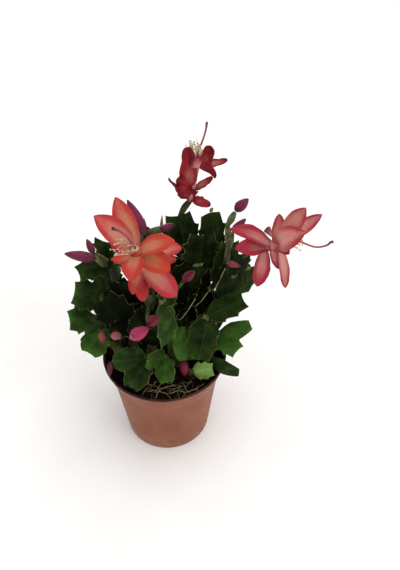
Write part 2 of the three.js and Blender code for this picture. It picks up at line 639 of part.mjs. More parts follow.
const roots = Object.values(STEMS);
while (clods.length < CLODS) {
  const a = TAU * random();
  const r = 12 + 30 * Math.sqrt(random());
  const size = 1.2 + 1.3 * random();
  const p = [r * Math.cos(a), r * Math.sin(a)];
  if (roots.some(([x, y]) => Math.hypot(x - p[0], y - p[1]) < HOLE_R + size + 1)) continue;
  if (p[1] < -24 && Math.abs(p[0] - 12) < 20) continue;
  const z = soilAt(p[0], p[1]);
  const rings = [-1, 0.1, 0.7].map((k) => [...p, z + k * size]);
  clods.push(tube(rings, [size * 0.7, size, size * 0.5], 6));
}
parts.soil = Manifold.union([soilBody(), ...clods]).subtract(Manifold.union(holes));

// Pale roots that creep over the soil at the front, one net.
const ROOTS = [
  [[-12, -36], [-4, -36], [4, -38], [12, -35], [20, -36], [28, -32]],
  [[-6, -42], [-4, -36], [3, -31], [10, -30]],
  [[6, -43], [4, -38], [9, -33], [14, -31]],
  [[13, -42], [12, -35], [15, -30]],
  [[22, -38], [20, -36], [17, -31]],
  [[33, -27], [28, -32], [28, -36]],
];
parts.surface_roots = Manifold.union(
  ROOTS.map((row) => {
    const pts = [];
    for (let i = 0; i + 1 < row.length; i++) {
      for (const t of [0, 0.5]) {
        const x = row[i][0] + (row[i + 1][0] - row[i][0]) * t;
        const y = row[i][1] + (row[i + 1][1] - row[i][1]) * t;
        pts.push([x, y, soilAt(x, y) + ROOT_LIFT + (t ? 0.5 : 0)]);
      }
    }
    const [x, y] = row[row.length - 1];
    pts.push([x, y, soilAt(x, y) + ROOT_LIFT]);
    return tube(pts, pts.map(() => ROOT_R), 4, [0, 0, 1]);
  }),
);

// Pot: a tapered body with a collar and a rounded lip, a raised ring under it with drain holes.
const profile = [
  [0, 0], [16, 0], [17, 1.5], [27, 1.5], [28, 0], [BASE_R - 0.6, 0], [BASE_R, 0.7],
  [45.9, 70.5], [48.7, 77.5], [51.5, 88.4], [RIM_R, 89.4], [RIM_R, 90.5], [RIM_R - 0.6, POT_H],
  [RIM_R - 1.6, POT_H], [50.2, 89.6], [47.6, 77.8], [45.3, 76.4], [BASE_R - WALL, FLOOR], [0, FLOOR],
].map(([r, z]) => new THREE.Vector2(r, z));
function lathe(points, sides) {
  const verts = [];
  const tris = [];
  const rows = points.map((p) => {
    if (p.x === 0) {
      verts.push([0, 0, p.y]);
      return [verts.length - 1];
    }
    const first = verts.length;
    for (let k = 0; k < sides; k++) {
      verts.push([p.x * Math.cos((TAU * k) / sides), p.x * Math.sin((TAU * k) / sides), p.y]);
    }
    return Array.from({ length: sides }, (_, k) => first + k);
  });
  for (let i = 0; i + 1 < rows.length; i++) {
    const [a, b] = [rows[i], rows[i + 1]];
    for (let k = 0; k < sides; k++) {
      const q = (k + 1) % sides;
      if (a.length > 1) tris.push([a[k], a[q], b.length > 1 ? b[q] : b[0]]);
      if (b.length > 1) tris.push([a.length > 1 ? a[k] : a[0], b[q], b[k]]);
    }
  }
  return solid(verts, tris);
}
const drains = [];
for (let k = 0; k < DRAINS; k++) {
  const a = (TAU * (k + 0.5)) / DRAINS;
  const p = [DRAIN_RING * Math.cos(a), DRAIN_RING * Math.sin(a)];
  drains.push(tube([[...p, -1], [...p, FLOOR + 1]], [DRAIN_R, DRAIN_R], 12));
}
parts.pot = lathe(profile, POT_SIDES).subtract(Manifold.union(drains));

const COLOURS = {
  pot: "#8d5a46", soil: "#241a15", surface_roots: "#b09a78", petals: "#d9604c", stamens: "#e8dcb0",
  style: "#7a1f3c", bud: "#8e2f4e", stem: "#2f4a24",
};
const group = new THREE.Group();
for (const [name, body] of Object.entries(parts)) {
  const m = body.asOriginal().simplify(FLATNESS).getMesh();
  const geometry = new THREE.BufferGeometry();
  const n = m.numProp;
  const positions = new Float32Array(m.numVert * 3);
  for (let i = 0; i < m.numVert; i++) positions.set(m.vertProperties.subarray(i * n, i * n + 3), i * 3);
  geometry.setAttribute("position", new THREE.BufferAttribute(positions, 3));
  geometry.setIndex(new THREE.BufferAttribute(m.triVerts, 1));
  geometry.computeVertexNormals();
  const kinds = Object.keys(COLOURS);
  const kind = kinds.find((k) => name === k || name.endsWith("_" + k) || name.startsWith(k + "_"));
  const material = new THREE.MeshStandardMaterial({ color: COLOURS[kind], roughness: 0.6 });
  const mesh = new THREE.Mesh(geometry, material);
  mesh.name = name;
  group.add(mesh);
}
export default group;
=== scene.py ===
"""Looks of a potted holiday cactus in flower.

Flat jointed leafy stems stand in the soil of a round terracotta-coloured nursery pot, with three
open blooms and a number of buds. The plant grows by the same rule as its solids, in millimetres,
and each finished mesh is brought to metres.
"""
import json
import random
from math import ceil, cos, exp, hypot, pi, radians, sin, sqrt, tau
from types import SimpleNamespace

import bmesh
import bpy
import numpy as np
from mathutils import Matrix, Vector, noise

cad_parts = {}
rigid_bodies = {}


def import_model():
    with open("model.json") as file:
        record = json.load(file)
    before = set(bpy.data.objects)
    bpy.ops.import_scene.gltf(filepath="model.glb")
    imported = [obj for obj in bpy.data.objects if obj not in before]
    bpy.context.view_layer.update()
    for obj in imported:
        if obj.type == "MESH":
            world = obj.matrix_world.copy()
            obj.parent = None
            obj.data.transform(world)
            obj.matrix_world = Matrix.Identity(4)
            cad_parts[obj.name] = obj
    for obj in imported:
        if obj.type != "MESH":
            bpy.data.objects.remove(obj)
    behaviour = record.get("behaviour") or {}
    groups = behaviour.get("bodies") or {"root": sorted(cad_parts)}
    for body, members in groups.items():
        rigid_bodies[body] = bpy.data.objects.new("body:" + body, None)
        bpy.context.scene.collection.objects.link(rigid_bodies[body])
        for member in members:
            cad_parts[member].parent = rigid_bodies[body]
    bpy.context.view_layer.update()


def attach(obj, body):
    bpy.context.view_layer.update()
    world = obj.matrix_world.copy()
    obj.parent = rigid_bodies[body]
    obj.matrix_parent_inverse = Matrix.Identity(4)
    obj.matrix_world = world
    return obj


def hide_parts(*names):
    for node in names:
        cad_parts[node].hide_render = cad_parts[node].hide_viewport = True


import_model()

MM = 0.001

# Pot and soil, as in the solids.
RIM_R = 52.5
BASE_R = 37.5
POT_H = 91
WALL = 1.3
FLOOR = 3
DRAIN_R = 2.6
DRAIN_RING = 22
SOIL_Z = 82
SOIL_R = 47.1
PEG_R = 2.5
PEG_DEPTH = 16

# Leaves, as in the solids: how they bow along and droop across, the gap between two, half their
# thickness, and where along one the next leaf or a bud stands.
BOW = 0.05
DROOP = 0.06
GAP = 0.4
APEX = 0.9
WOODY_MOST = 16.5
WOODY_THICK = 1.7
NEXT = 0.94
BUD_APEX = 1.03

# Blooms, as in the solids: the petals' cup and root, the neck, the stamens' ring and the style.
CUP = 0.14
PETAL_ROOT = 1.2
NECK = 2.4
NECK_R = 2.6
RING_LIFT = 0.35
RING_H = 1.6
THREADS = 8
THREAD_RING_R = 1.85
STYLE_LIFT = 0.4
OVARY_GAP = 0.8

# Half thickness of the dressed leaves and petals, a little less than that of their solids.
LEAF_EDGE = 0.28
LEAF_RIB = 0.95
PETAL_EDGE = 0.24
PETAL_RIB = 0.5

# Each stem: x and y of its root, then its joints. A joint: the one that it grows from (-1 for the
# root), x, y and z that its tip aims at, its width, and its turn about its own length in degrees.
STEMS = {
    "bloom_left": [-8, -9, [[-1, -9, -11, 112, 12, 0], [0, -11, -15, 138, 18, 0], [1, -8, -13, 156, 20, 0],
        [2, -7, -9, 170, 10, 0], [2, -18, -46, 161, 17, 0], [2, -7, -40, 167, 11, 20]]],
    "bloom_right": [30, 9, [[-1, 37, 10, 114, 12, 0], [0, 48, 12, 140, 22, 0], [1, 57, 14, 166, 26, 0],
        [2, 63, 13, 188, 20, 0]]],
    "bloom_top": [-2, 26, [[-1, 2, 25, 116, 12, 0], [0, 14, 21, 148, 25, 0], [1, 19, 22, 178, 29, 0],
        [2, 13, 38, 207, 30, 0]]],
    "front_left": [-16, -18, [[-1, -13, -24, 111, 12, 0], [0, -38, -32, 115, 20, 15],
        [0, -25, -46, 98, 21, -10]]],
    "front": [0, -20, [[-1, 1, -22, 110, 12, 20], [0, -12, -36, 120, 18, 0], [0, 1, -41, 98, 17, 10]]],
    "front_right_low": [24, -20, [[-1, 24, -27, 97, 10, 0], [0, 41, -30, 95, 19, 20]]],
    "right_low": [36, -8, [[-1, 37, -18, 102, 12, 0], [0, 61, -33, 102, 16, 65]]],
    "right": [39, 2, [[-1, 46, -3, 113, 12, 0], [0, 61, -17, 109, 20, 0], [0, 71, -2, 125, 16, -10]]],
    "right_arch": [18, 2, [[-1, 23, -3, 118, 12, 0], [0, 36, -10, 144, 20, 0], [1, 28, -31, 113, 28, 0],
        [1, 66, 3, 149, 20, -20]]],
    "centre_low": [10, -8, [[-1, 7, -13, 118, 11, 0], [0, 15, -14, 133, 13, 70], [1, 10, -26, 109, 16, 0]]],
    "centre_edge": [4, 4, [[-1, 4, -1, 116, 12, 0], [0, 12, -7, 140, 18, 60], [1, 28, -7, 165, 20, 75]]],
    "centre_long": [20, 14, [[-1, 22, 9, 114, 12, 60], [0, 24, 4, 144, 18, 70], [1, 38, 3, 161, 18, 75],
        [2, 54, 4, 179, 17, 75]]],
    "front_hang": [-10, 3, [[-1, -9, -1, 116, 12, 0], [0, -3, -8, 146, 20, 30], [1, 3, -12, 168, 19, 50],
        [2, 2, -24, 172, 17, 25], [3, -5, -32, 134, 19, -35], [2, 18, -15, 185, 14, 70]]],
    "left_low": [-31, -14, [[-1, -38, -10, 112, 12, 0], [0, -50, -9, 126, 20, 0], [1, -59, -24, 114, 26, 0],
        [0, -46, -19, 123, 10, 0]]],
    "left_out": [-38, -2, [[-1, -43, 0, 114, 12, 0], [0, -56, -2, 134, 24, 0], [1, -74, -9, 137, 24, 10]]],
    "left_mid": [-36, 8, [[-1, -40, 9, 120, 12, 0], [0, -49, 6, 150, 26, 0], [1, -69, 1, 158, 26, 0],
        [0, -50, 20, 162, 22, 0]]],
    "left_high": [-28, 20, [[-1, -33, 21, 118, 12, 0], [0, -40, 21, 148, 24, 0], [1, -45, 16, 172, 25, 0],
        [2, -65, 12, 163, 22, 10], [2, -44, 20, 195, 24, 0], [2, -48, 5, 189, 10, 30],
        [2, -50, 12, 188, 9, 30], [1, -33, 8, 179, 24, 0]]],
    "dark_left": [-22, 0, [[-1, -26, -4, 114, 12, 0], [0, -30, -9, 142, 26, 0], [1, -49, -6, 155, 33, 0],
        [1, -34, -36, 150, 18, 0]]],
    "dark_mid": [-18, 12, [[-1, -19, 9, 116, 12, 0], [0, -21, 2, 148, 27, 0], [1, -36, -4, 170, 33, 0],
        [1, -43, 2, 163, 24, 0]]],
    "centre_big": [8, 15, [[-1, 12, 13, 118, 12, 0], [0, 20, 11, 150, 22, 20], [1, 33, 5, 178, 26, 0],
        [2, 32, 18, 203, 32, 0]]],
    "centre_dark": [-4, 14, [[-1, -2, 12, 118, 12, 0], [0, 3, 9, 152, 25, 0], [1, 8, 12, 184, 33, 0]]],
    "top_mid": [10, 27, [[-1, 13, 26, 118, 12, 0], [0, 24, 27, 150, 24, 0], [1, 38, 30, 177, 26, 0],
        [2, 38, 38, 206, 25, 0], [0, 29, 31, 122, 22, 0]]],
    "top_right": [21, 23, [[-1, 28, 23, 114, 12, 0], [0, 40, 27, 148, 22, 50], [1, 45, 33, 182, 10, 20],
        [2, 50, 38, 197, 6.6, 0], [3, 57, 42, 205, 6.2, 0], [2, 55, 31, 194, 6, 0],
        [1, 54, 32, 185, 24, 0]]],
    "right_mid": [34, 19, [[-1, 42, 17, 112, 12, 30], [0, 58, 27, 134, 24, 0], [1, 69, 25, 165, 22, 0],
        [1, 51, 24, 170, 24, 0], [2, 67, 20, 136, 18, 0]]],
    "top_left": [-14, 24, [[-1, -14, 19, 118, 12, 0], [0, -15, 16, 150, 25, 0], [1, -14, 17, 182, 27, 0],
        [2, -13, 21, 203, 25, 0], [2, 1, 19, 200, 13, 0], [2, -1, 31, 190, 9, 0]]],
}

# Each bud: the stem and the joint that carry it, x, y and z of its tip, its width and its finish.
BUDS = {
    "bud_left_long": ["left_high", 5, -69, 0, 198, 8.4, "purple"],
    "bud_left_small": ["left_high", 6, -55, 16, 199, 5.6, "purple"],
    "bud_behind_bloom": ["top_left", 3, -22, 19, 232, 9, "purple"],
    "bud_upper": ["top_left", 4, 11, 13, 215, 6, "purple"],
    "bud_thin": ["top_left", 5, 1, 35, 207, 2.8, "brown"],
    "bud_right_tall": ["top_right", 4, 67, 44, 216, 8.6, "purple"],
    "bud_right_side": ["top_right", 5, 65, 32, 206, 6, "purple"],
    "bud_tiny": ["top_mid", 3, 40, 41, 210, 3.2, "brown"],
    "bud_middle": ["front_hang", 5, 26, -19, 198, 7.2, "crimson"],
    "bud_right_low": ["centre_long", 3, 60, 1, 185, 5.2, "dull"],
    "bud_pink_upper": ["bloom_left", 5, 1, -47, 180, 8.4, "crimson"],
    "bud_pink_lower": ["bloom_left", 4, -6, -53, 175, 9.6, "magenta"],
    "bud_rosy": ["dark_left", 3, -26, -50, 164, 6.4, "dull"],
    "bud_dull": ["left_low", 3, -47, -19, 136, 6, "dull"],
    "bud_crimson": ["centre_low", 2, 18, -32, 96, 8, "crimson"],
    # This bud takes a darker crimson, painted as the shade under the rim.
    "bud_soil": ["front_left", 1, -41, -39, 105, 4.6, "painted_shade"],
    "bud_back": ["back_3", 2, -17, 86, 157, 7, "purple"],
}

# Each bloom: foot and throat of its tube with the radii of both, the end of its style, where its
# anthers gather, and its petals. A petal: where its foot is along the tube, x, y and z of its tip,
# width, bow and twist.
BLOOMS = {
    "bloom_left": {
        "foot": [-9, -14, 178], "throat": [-11, -42, 235], "tube": [2.6, 4.2],
        "style": [-20, -64, 270], "anthers": [-19, -57, 250],
        "petals": [
            [0.97, -34, -44, 264, 16, 0.06, 0], [0.95, -22, -30, 268, 14, 0.06, 0],
            [0.95, 14, -44, 245, 13.5, 0.1, 0], [0.9, 18, -30, 228, 13, 0.06, 0],
            [0.93, 11, -50, 225, 16, 0.12, 0], [0.86, 14, -32, 219, 10, 0.06, 0],
            [0.7, 14, -26, 189, 15, 0.06, 0], [0.6, 14, -40, 193, 16, 0.12, 0],
            [0.96, -13, -62, 227, 14, 0.16, 0], [0.5, -9, -46, 194, 10, 0.1, 0],
            [0.56, -15, -48, 203, 9.5, 0.1, 0], [0.85, -25, -54, 238, 9, 0.16, -35],
            [0.8, -28, -34, 238, 12, 0.1, 0], [0.7, -6, -8, 201, 12, 0.1, 0],
        ],
    },
    "bloom_right": {
        "foot": [73, 9, 195], "throat": [93, 1, 207], "tube": [2.6, 4],
        "style": [126, 0, 209], "anthers": [102, -1, 209],
        "petals": [
            [0.5, 52, 8, 215, 13.5, 0.08, 0], [0.3, 55, -6, 208, 12.5, 0.08, 0],
            [0.22, 73, -6, 171, 13, 0.05, 45], [0.6, 87, 12, 225, 9, 0.08, -55],
            [0.7, 102, -2, 240, 14, -0.05, 70], [0.7, 118, 14, 223, 11, -0.06, -25],
            [0.8, 101, -16, 230, 17, -0.3, 10], [0.5, 84, -14, 217, 9, -0.1, 0],
            [0.75, 95, -3, 167, 8, 0.05, 50], [0.45, 90, -2, 185, 9, 0.05, 45],
            [0.5, 80, 32, 194, 12, 0.12, 0], [0.5, 92, -16, 213, 7, 0.1, -30],
        ],
    },
    "bloom_top": {
        "foot": [22, 42, 216], "throat": [27, 44, 247], "tube": [2.6, 3.4],
        "style": [35, 44, 280], "anthers": [26, 42, 263],
        "petals": [
            [0.2, 21, 34, 266, 13.5, -0.04, 58], [0.1, 14, 32, 235, 11, -0.08, 60],
            [0.26, 7, 40, 237, 5, -0.14, 30], [0.3, 39, 40, 238, 6, -0.1, 60],
            [0.95, 39, 46, 259, 12, -0.2, 40], [0.95, 42, 39, 239, 8, 0.16, -75],
            [0.92, 50, 44, 250, 6.5, -0.1, 50], [0.9, 27, 30, 260, 10, -0.1, 40],
            [0.05, 38, 38, 214, 7.5, 0.16, 50], [0.1, 15, 34, 242, 10, -0.05, 60],
            [0.5, 19, 56, 232, 9, 0.2, 0],
        ],
    },
}

# Arching stems round the back: x and y of the root, heading, reach and height.
BACK = [(-23, 32, 124, 62, 150), (-12, 37, 104, 46, 178), (0, 39, 88, 66, 148),
        (12, 37, 70, 50, 176), (24, 31, 50, 64, 150)]


def out(heading, r, z, w, roll):
    """A joint's aim at a heading and a distance from the pot's axis, with its width and turn."""
    a = radians(heading)
    return [r * cos(a), r * sin(a), z, w, roll]


for order, (x, y, heading, reach, height) in enumerate(BACK):
    joints = [[-1, *out(heading, 42, 114, 12, 0)],
              [0, *out(heading - 3, reach - 12, height - 8, 23, 20)],
              [1, *out(heading + 14, reach + 8, height + 12, 25, -10)],
              [1, *out(heading - 14, reach + 14, height - 22, 24, 10)]]
    if order % 2 == 0:
        joints.append([0, *out(heading + 4, reach, 110, 22, 0)])
    STEMS[f"back_{order + 1}"] = [x, y, joints]

# Stems whose young leaves have rounder lobes.
LOBED_STEMS = ["front_left", "front", "left_low", "centre_low"]
# Each stem's freshness and painted shade as one lightness of green, and how wide its margins have turned
# pale.
STEM_LOOKS = {
    "front_left": (0.45, 0.35), "front": (0.56, 0.3), "front_right_low": (1.38, 0.12),
    "right_low": (0.42, 0.12), "right": (0.82, 0.2), "right_arch": (0.38, 0.25),
    "centre_low": (0.85, 0.5), "left_low": (0.6, 0.12), "left_out": (0.52, 0.12),
    "right_mid": (0.38, 0.12), "left_mid": (0.4, 0.12), "left_high": (0.34, 0.12),
    "dark_left": (0.02, 0.12), "dark_mid": (0.0, 0.12), "centre_dark": (0.05, 0.12),
    "centre_big": (0.08, 0.25), "top_left": (0.34, 0.12), "top_mid": (0.26, 0.12),
    "top_right": (0.5, 0.3), "centre_edge": (0.18, 1.0), "centre_long": (0.18, 1.0),
    "front_hang": (0.5, 0.5), "bloom_left": (0.12, 0.12), "bloom_top": (0.26, 0.12),
    "bloom_right": (0.18, 0.12),
}
# The look of all other stems, and the lightness, painted shade included, from which leaves shine.
PLAIN_LOOK = (0.2, 0.12)
GLOSSY_FROM = 0.4


def length(a):
    return sqrt(a @ a)


def unit(a):
    return a / length(a)


def turn(v, axis, a):
    """A direction turned about an axis."""
    return v * cos(a) + np.cross(axis, v) * sin(a) + axis * ((axis @ v) * (1 - cos(a)))


def between(a, b, t):
    """The point at a share of the way from one to another."""
    return a * (1 - t) + b * t


def vec(*values):
    return np.array(values, float)


def spoke(s, n, a):
    """Direction at an angle between two directions across an axis."""
    return s * cos(a) + n * sin(a)


# The seed and the rule of the even draws, as in the solids.
SEED = 20261
DRAW_TIMES = 1664525
DRAW_PLUS = 1013904223
DRAW_SPAN = 2**32


def even_draws(seed):
    """The same even draws between 0 and 1 in each run."""
    while True:
        seed = (seed * DRAW_TIMES + DRAW_PLUS) % DRAW_SPAN
        yield seed / DRAW_SPAN


def width_at(table, u):
    """Share of the half width at a place along, between the rows of a table."""
    for (u0, w0), (u1, w1) in zip(table, table[1:]):
        if u <= u1 or (u1, w1) == table[-1]:
            return w0 + (w1 - w0) * min(1, max(0, (u - u0) / (u1 - u0)))


# Room that a leaf and a petal take: place along it, share of its half width.
HULL = [(0, 0.3), (0.2, 0.85), (0.37, 1), (0.7, 1), (1, 0.66)]
PETAL_HULL = [(0, 0.34), (0.25, 0.74), (0.55, 1), (0.83, 0.72), (1, 0.1)]
HULL_U, HULL_W = np.array(HULL).T
SAMPLES = [(i / 12, j / 3) for i in range(13) for j in range(-3, 4)]
# A leaf turns by the least of these swings and rolls, in degrees, that keeps it clear.
SWINGS = [0, 7, -7, 14, -14, 21, -21, 28, -28]
ROLLS = [0, 22, -22, 44, -44]
TRIES = sorted(((a, b, c) for a in SWINGS for b in SWINGS for c in ROLLS),
               key=lambda t: hypot(t[0], t[1]) + 0.5 * abs(t[2]))
# Balls that take up room: how many along the rim, on which radius and how high, the radii of those
# of rim, petals and threads, the most between two in a row, and the shares of a bud's half width
# that its own have.
RIM_BALLS = 110
RIM_BALLS_AT = RIM_R - 0.9
RIM_BALLS_Z = POT_H - 1.2
RIM_BALL_R = 1.9
PETAL_BALL_R = 0.9
THREAD_BALL_R = 1
BALL_STEP = 3
BUD_BALLS = (0.4, 0.9, 1, 0.75, 0.3)
# How far past a leaf's edge a ball or another leaf still counts as beside it, how far apart two
# leaves are out of each other's way, and the least height of a leaf within the rim.
BALL_REACH = 0.6
LEAF_REACH = 0.5
OUT_OF_REACH = 5
LEAF_LEAST_Z = SOIL_Z + 4
# Where the stems leave the soil.
ROOT_Z = SOIL_Z + 3


def blade_frame(b, tip, key, roll):
    """Frame of a leaf or petal: foot, direction, face turned towards a key, side and length."""
    d = unit(tip - b)
    n = turn(unit(key - d * (key @ d)), d, radians(roll))
    return SimpleNamespace(b=b, d=d, n=n, s=np.cross(n, d), l=length(tip - b))


def leaf_frame(b, tip, roll, back):
    """A leaf faces up and out: at the back away from the middle, elsewhere towards the front."""
    mid = between(b, tip, 0.5)
    r = max(hypot(mid[0], mid[1]), 1)
    if back:
        face = vec(mid[0] / r * 0.75, mid[1] / r * 0.75, 0.75)
    else:
        face = vec(mid[0] / r * 0.5, min(mid[1] / r, 0) * 0.7 - 0.6, 0.7)
    return blade_frame(b, tip, face, roll)


def petal_frame(bloom, row):
    """A petal grows from its place on the tube, its inner face to the bloom's axis."""
    at, x, y, z, w, bow, twist = row
    mid = between(bloom.foot, bloom.throat, at)
    tip = vec(x, y, z)
    aim = tip - mid
    outward = unit(aim - bloom.axis * (aim @ bloom.axis))
    f = blade_frame(mid + outward * PETAL_ROOT, tip, bloom.axis - outward, twist)
    f.w = w
    f.bow = bow
    return f


def on_leaf(f, u, v):
    """Point on a leaf's middle surface: place along it, distance from its rib."""
    h = BOW * f.l * 4 * u * (1 - u) - DROOP * v * v * 2 / f.w
    return f.b + f.d * (f.l * u) + f.s * v + f.n * h


def on_petal(f, u, v):
    """Point on a petal's middle surface, in the same way."""
    h = f.bow * f.l * 4 * u * (1 - u) + CUP * v * v * 4 / f.w
    return f.b + f.d * (f.l * u) + f.s * v + f.n * h


def samples_of(f):
    """Points all over a leaf's middle surface."""
    return np.array([on_leaf(f, u, k * width_at(HULL, u) * f.w / 2) for u, k in SAMPLES])


def near(f, points, r, reach):
    """True where a ball of radius r at a point is too near the leaf's middle surface."""
    q = points - f.b
    u = q @ f.d / f.l
    m = (reach + r) / f.l
    v = q @ f.s
    uc = np.clip(u, 0, 1)
    inside = (u >= -m) & (u <= 1 + m) & (np.abs(v) <= np.interp(uc, HULL_U, HULL_W) * f.w / 2 + reach + r)
    h = q @ f.n - BOW * f.l * 4 * uc * (1 - uc) + DROOP * v * v * 2 / f.w
    return inside & (np.abs(h) < r + f.th + GAP)


class Room:
    """Places already taken: balls for the rim, blooms and buds, and flat plates for leaves."""

    def __init__(self):
        self.balls = []
        self.plates = []

    def ball(self, p, r, owner=""):
        self.balls.append((p, r, owner))

    def row(self, a, b, r):
        """Balls all the way from one point to another."""
        n = ceil(length(b - a) / BALL_STEP)
        for i in range(n + 1):
            self.ball(between(a, b, i / n), r)

    def open_for(self, stem):
        """The balls that a stem must keep clear of: all but its own buds'."""
        others = [ball for ball in self.balls if ball[2] != stem]
        self.free = np.array([p for p, _, _ in others])
        self.free_r = np.array([r for _, r, _ in others])

    def clashes(self, f, stem, first):
        """How many points of a leaf and of what is round it are too near each other."""
        points = samples_of(f)
        mid = on_leaf(f, 0.5, 0)
        f.reach = f.l / 2 + f.w / 2
        hits = near(f, self.free, self.free_r, BALL_REACH).sum()
        for o in self.plates:
            gap = mid - o.mid
            if o.stem == stem or gap @ gap > (f.reach + o.reach + OUT_OF_REACH) ** 2:
                continue
            hits += near(o, points, f.th, LEAF_REACH).sum() + near(f, o.points, o.th, LEAF_REACH).sum()
        if not first:
            low = (points[:, 2] < LEAF_LEAST_Z) & (np.hypot(points[:, 0], points[:, 1]) < RIM_R)
            hits += low.sum()
        return hits


def grow():
    """Blooms take their places first, then the stems grow joint by joint, with their buds."""
    draws = even_draws(SEED)
    room = Room()
    for k in range(RIM_BALLS):
        a = tau * k / RIM_BALLS
        room.ball(vec(RIM_BALLS_AT * cos(a), RIM_BALLS_AT * sin(a), RIM_BALLS_Z), RIM_BALL_R)
    blooms = {name: grow_bloom(room, draws, table) for name, table in BLOOMS.items()}
    stems, buds = {}, {}
    for name, (x, y, rows) in STEMS.items():
        room.open_for(name)
        joints = grow_joints(room, name, vec(x, y, ROOT_Z), rows)
        stems[name] = SimpleNamespace(x=x, y=y, joints=joints)
        for bud, (stem, joint, bx, by, bz, w, _) in BUDS.items():
            if stem == name:
                buds[bud] = grow_bud(room, name, joints[joint], vec(bx, by, bz), w)
    return blooms, stems, buds


def grow_bloom(room, draws, table):
    """A bloom's tube, petals, stamens and style, and the room that they take."""
    bloom = SimpleNamespace(**{k: np.array(v, float) for k, v in table.items() if k != "petals"})
    bloom.axis = unit(bloom.throat - bloom.foot)
    bloom.neck = bloom.throat + bloom.axis * NECK
    room.row(bloom.foot, bloom.throat, bloom.tube[1])
    bloom.petals = [petal_frame(bloom, row) for row in table["petals"]]
    for f in bloom.petals:
        for i in range(9):
            half = width_at(PETAL_HULL, i / 8) * f.w / 4
            for j in range(-2, 3):
                room.ball(on_petal(f, i / 8, j * half), PETAL_BALL_R)
    bloom.seat = bloom.neck + bloom.axis * RING_LIFT
    bloom.side = unit(np.cross(bloom.axis, vec(0.3, 0.2, 0.9)))
    bloom.other = np.cross(bloom.axis, bloom.side)
    bloom.threads = []
    for k in range(THREADS):
        a = tau * (k + 0.3 * next(draws)) / THREADS
        path = thread(bloom, a, 3 + 3.2 * next(draws), 4 * next(draws) - 2)
        bloom.threads.append(path)
        room.row(path[1], path[2], THREAD_BALL_R)
    room.row(bloom.neck + bloom.axis * STYLE_LIFT, bloom.style, THREAD_BALL_R)
    return bloom


def thread(bloom, a, spread, lift):
    """Path of a stamen's thread: start on the ring, middle and end."""
    ray = spoke(bloom.side, bloom.other, a)
    start = bloom.seat + bloom.axis * 0.5 + ray * THREAD_RING_R
    end = bloom.anthers + ray * spread + bloom.axis * lift
    return start, between(start, end, 0.5) + (bloom.axis + ray) * 1.8, end


def grow_joints(room, name, root, rows):
    """The joints of a stem, each from the end of the one that carries it."""
    joints = []
    for k, (parent, x, y, z, w, roll) in enumerate(rows):
        start = root if parent < 0 else joints[parent].end
        f = leaf_with_room(room, name, parent < 0, start, vec(x, y, z), w, roll)
        budded = any(row[:2] == [name, k] for row in BUDS.values())
        f.apex = 1 if w <= WOODY_MOST else BUD_APEX if budded else NEXT
        f.end = on_leaf(f, NEXT, 0)
        f.stem = name
        f.parent = parent
        f.mid = on_leaf(f, 0.5, 0)
        f.points = samples_of(f)
        joints.append(f)
        room.plates.append(f)
    return joints


def leaf_with_room(room, name, first, start, aim, w, roll):
    """A leaf at its place, turned only as far as it must to be clear of the others."""
    back = name.startswith("back")
    base = leaf_frame(start, aim, roll, back)
    best, fewest = None, None
    for a, b, c in TRIES:
        d = turn(base.d, base.s, radians(a))
        d = turn(d, base.n, radians(b))
        f = leaf_frame(start, start + d * base.l, roll + c, back)
        f.w = w
        f.th = WOODY_THICK if w <= WOODY_MOST else APEX
        hits = room.clashes(f, name, first)
        if best is None or hits < fewest:
            best, fewest = f, hits
        if hits == 0:
            break
    return best


def grow_bud(room, name, f, tip, w):
    """A bud that stands on a leaf's end, further out the more it leans across."""
    seat = on_leaf(f, f.apex, 0)
    axis = unit(tip - seat)
    lean = sqrt(max(0, 1 - (axis @ f.d) ** 2))
    start = seat + f.d * (0.45 + 0.2 * w * lean)
    bud = SimpleNamespace(foot=start, way=unit(tip - start), l=length(tip - start), w=w)
    for i, share in enumerate(BUD_BALLS):
        room.ball(start + bud.way * (bud.l * i / 4), w / 2 * share, name)
    return bud


blooms, stems, buds = grow()

# Half outlines, from foot to tip: place along, share of the half width and, at a leaf's teeth and
# corners, how far the rim hooks forward.
LEAF_OUTLINE = [
    (0, 0.16), (0.06, 0.38), (0.13, 0.62), (0.21, 0.81), (0.28, 0.93, 0.01),
    (0.335, 1.01, 0.03), (0.362, 0.92, 0.008), (0.4, 0.83), (0.46, 0.83), (0.53, 0.89),
    (0.6, 0.94, 0.01), (0.662, 1.02, 0.03), (0.69, 0.92, 0.008), (0.73, 0.8), (0.79, 0.76),
    (0.87, 0.72), (0.94, 0.69, 0.005), (1, 0.65, 0.016),
]
LOBED_OUTLINE = [
    (0, 0.16), (0.05, 0.42), (0.11, 0.66), (0.18, 0.85), (0.24, 0.95),
    (0.3, 1.0, 0.02), (0.335, 0.95, 0.012), (0.38, 0.89), (0.43, 0.89), (0.5, 0.95),
    (0.57, 0.99), (0.64, 1.01, 0.02), (0.675, 0.97, 0.012), (0.72, 0.88), (0.78, 0.85),
    (0.86, 0.77), (0.93, 0.65, 0.005), (1, 0.5, 0.01),
]
PETAL_OUTLINE = [
    (0, 0.46), (0.08, 0.58), (0.17, 0.71), (0.27, 0.83), (0.38, 0.93), (0.48, 0.985), (0.57, 1),
    (0.66, 0.97), (0.75, 0.87), (0.83, 0.72), (0.9, 0.51), (0.955, 0.29), (1, 0.05),
]
NARROW_OUTLINE = [
    (0, 0.42), (0.12, 0.6), (0.25, 0.8), (0.37, 0.94), (0.5, 0.99), (0.63, 0.96), (0.75, 0.88),
    (0.85, 0.71), (0.93, 0.48), (1, 0.1),
]
WORN_OUTLINE = [
    (0, 0.42), (0.12, 0.62), (0.25, 0.86), (0.37, 0.99), (0.5, 1), (0.63, 0.91), (0.75, 0.8),
    (0.86, 0.7), (0.95, 0.5), (1, 0.24),
]
SCALE_OUTLINE = [(0, 0.7), (0.3, 1), (0.6, 0.8), (0.85, 0.42), (1, 0.06)]
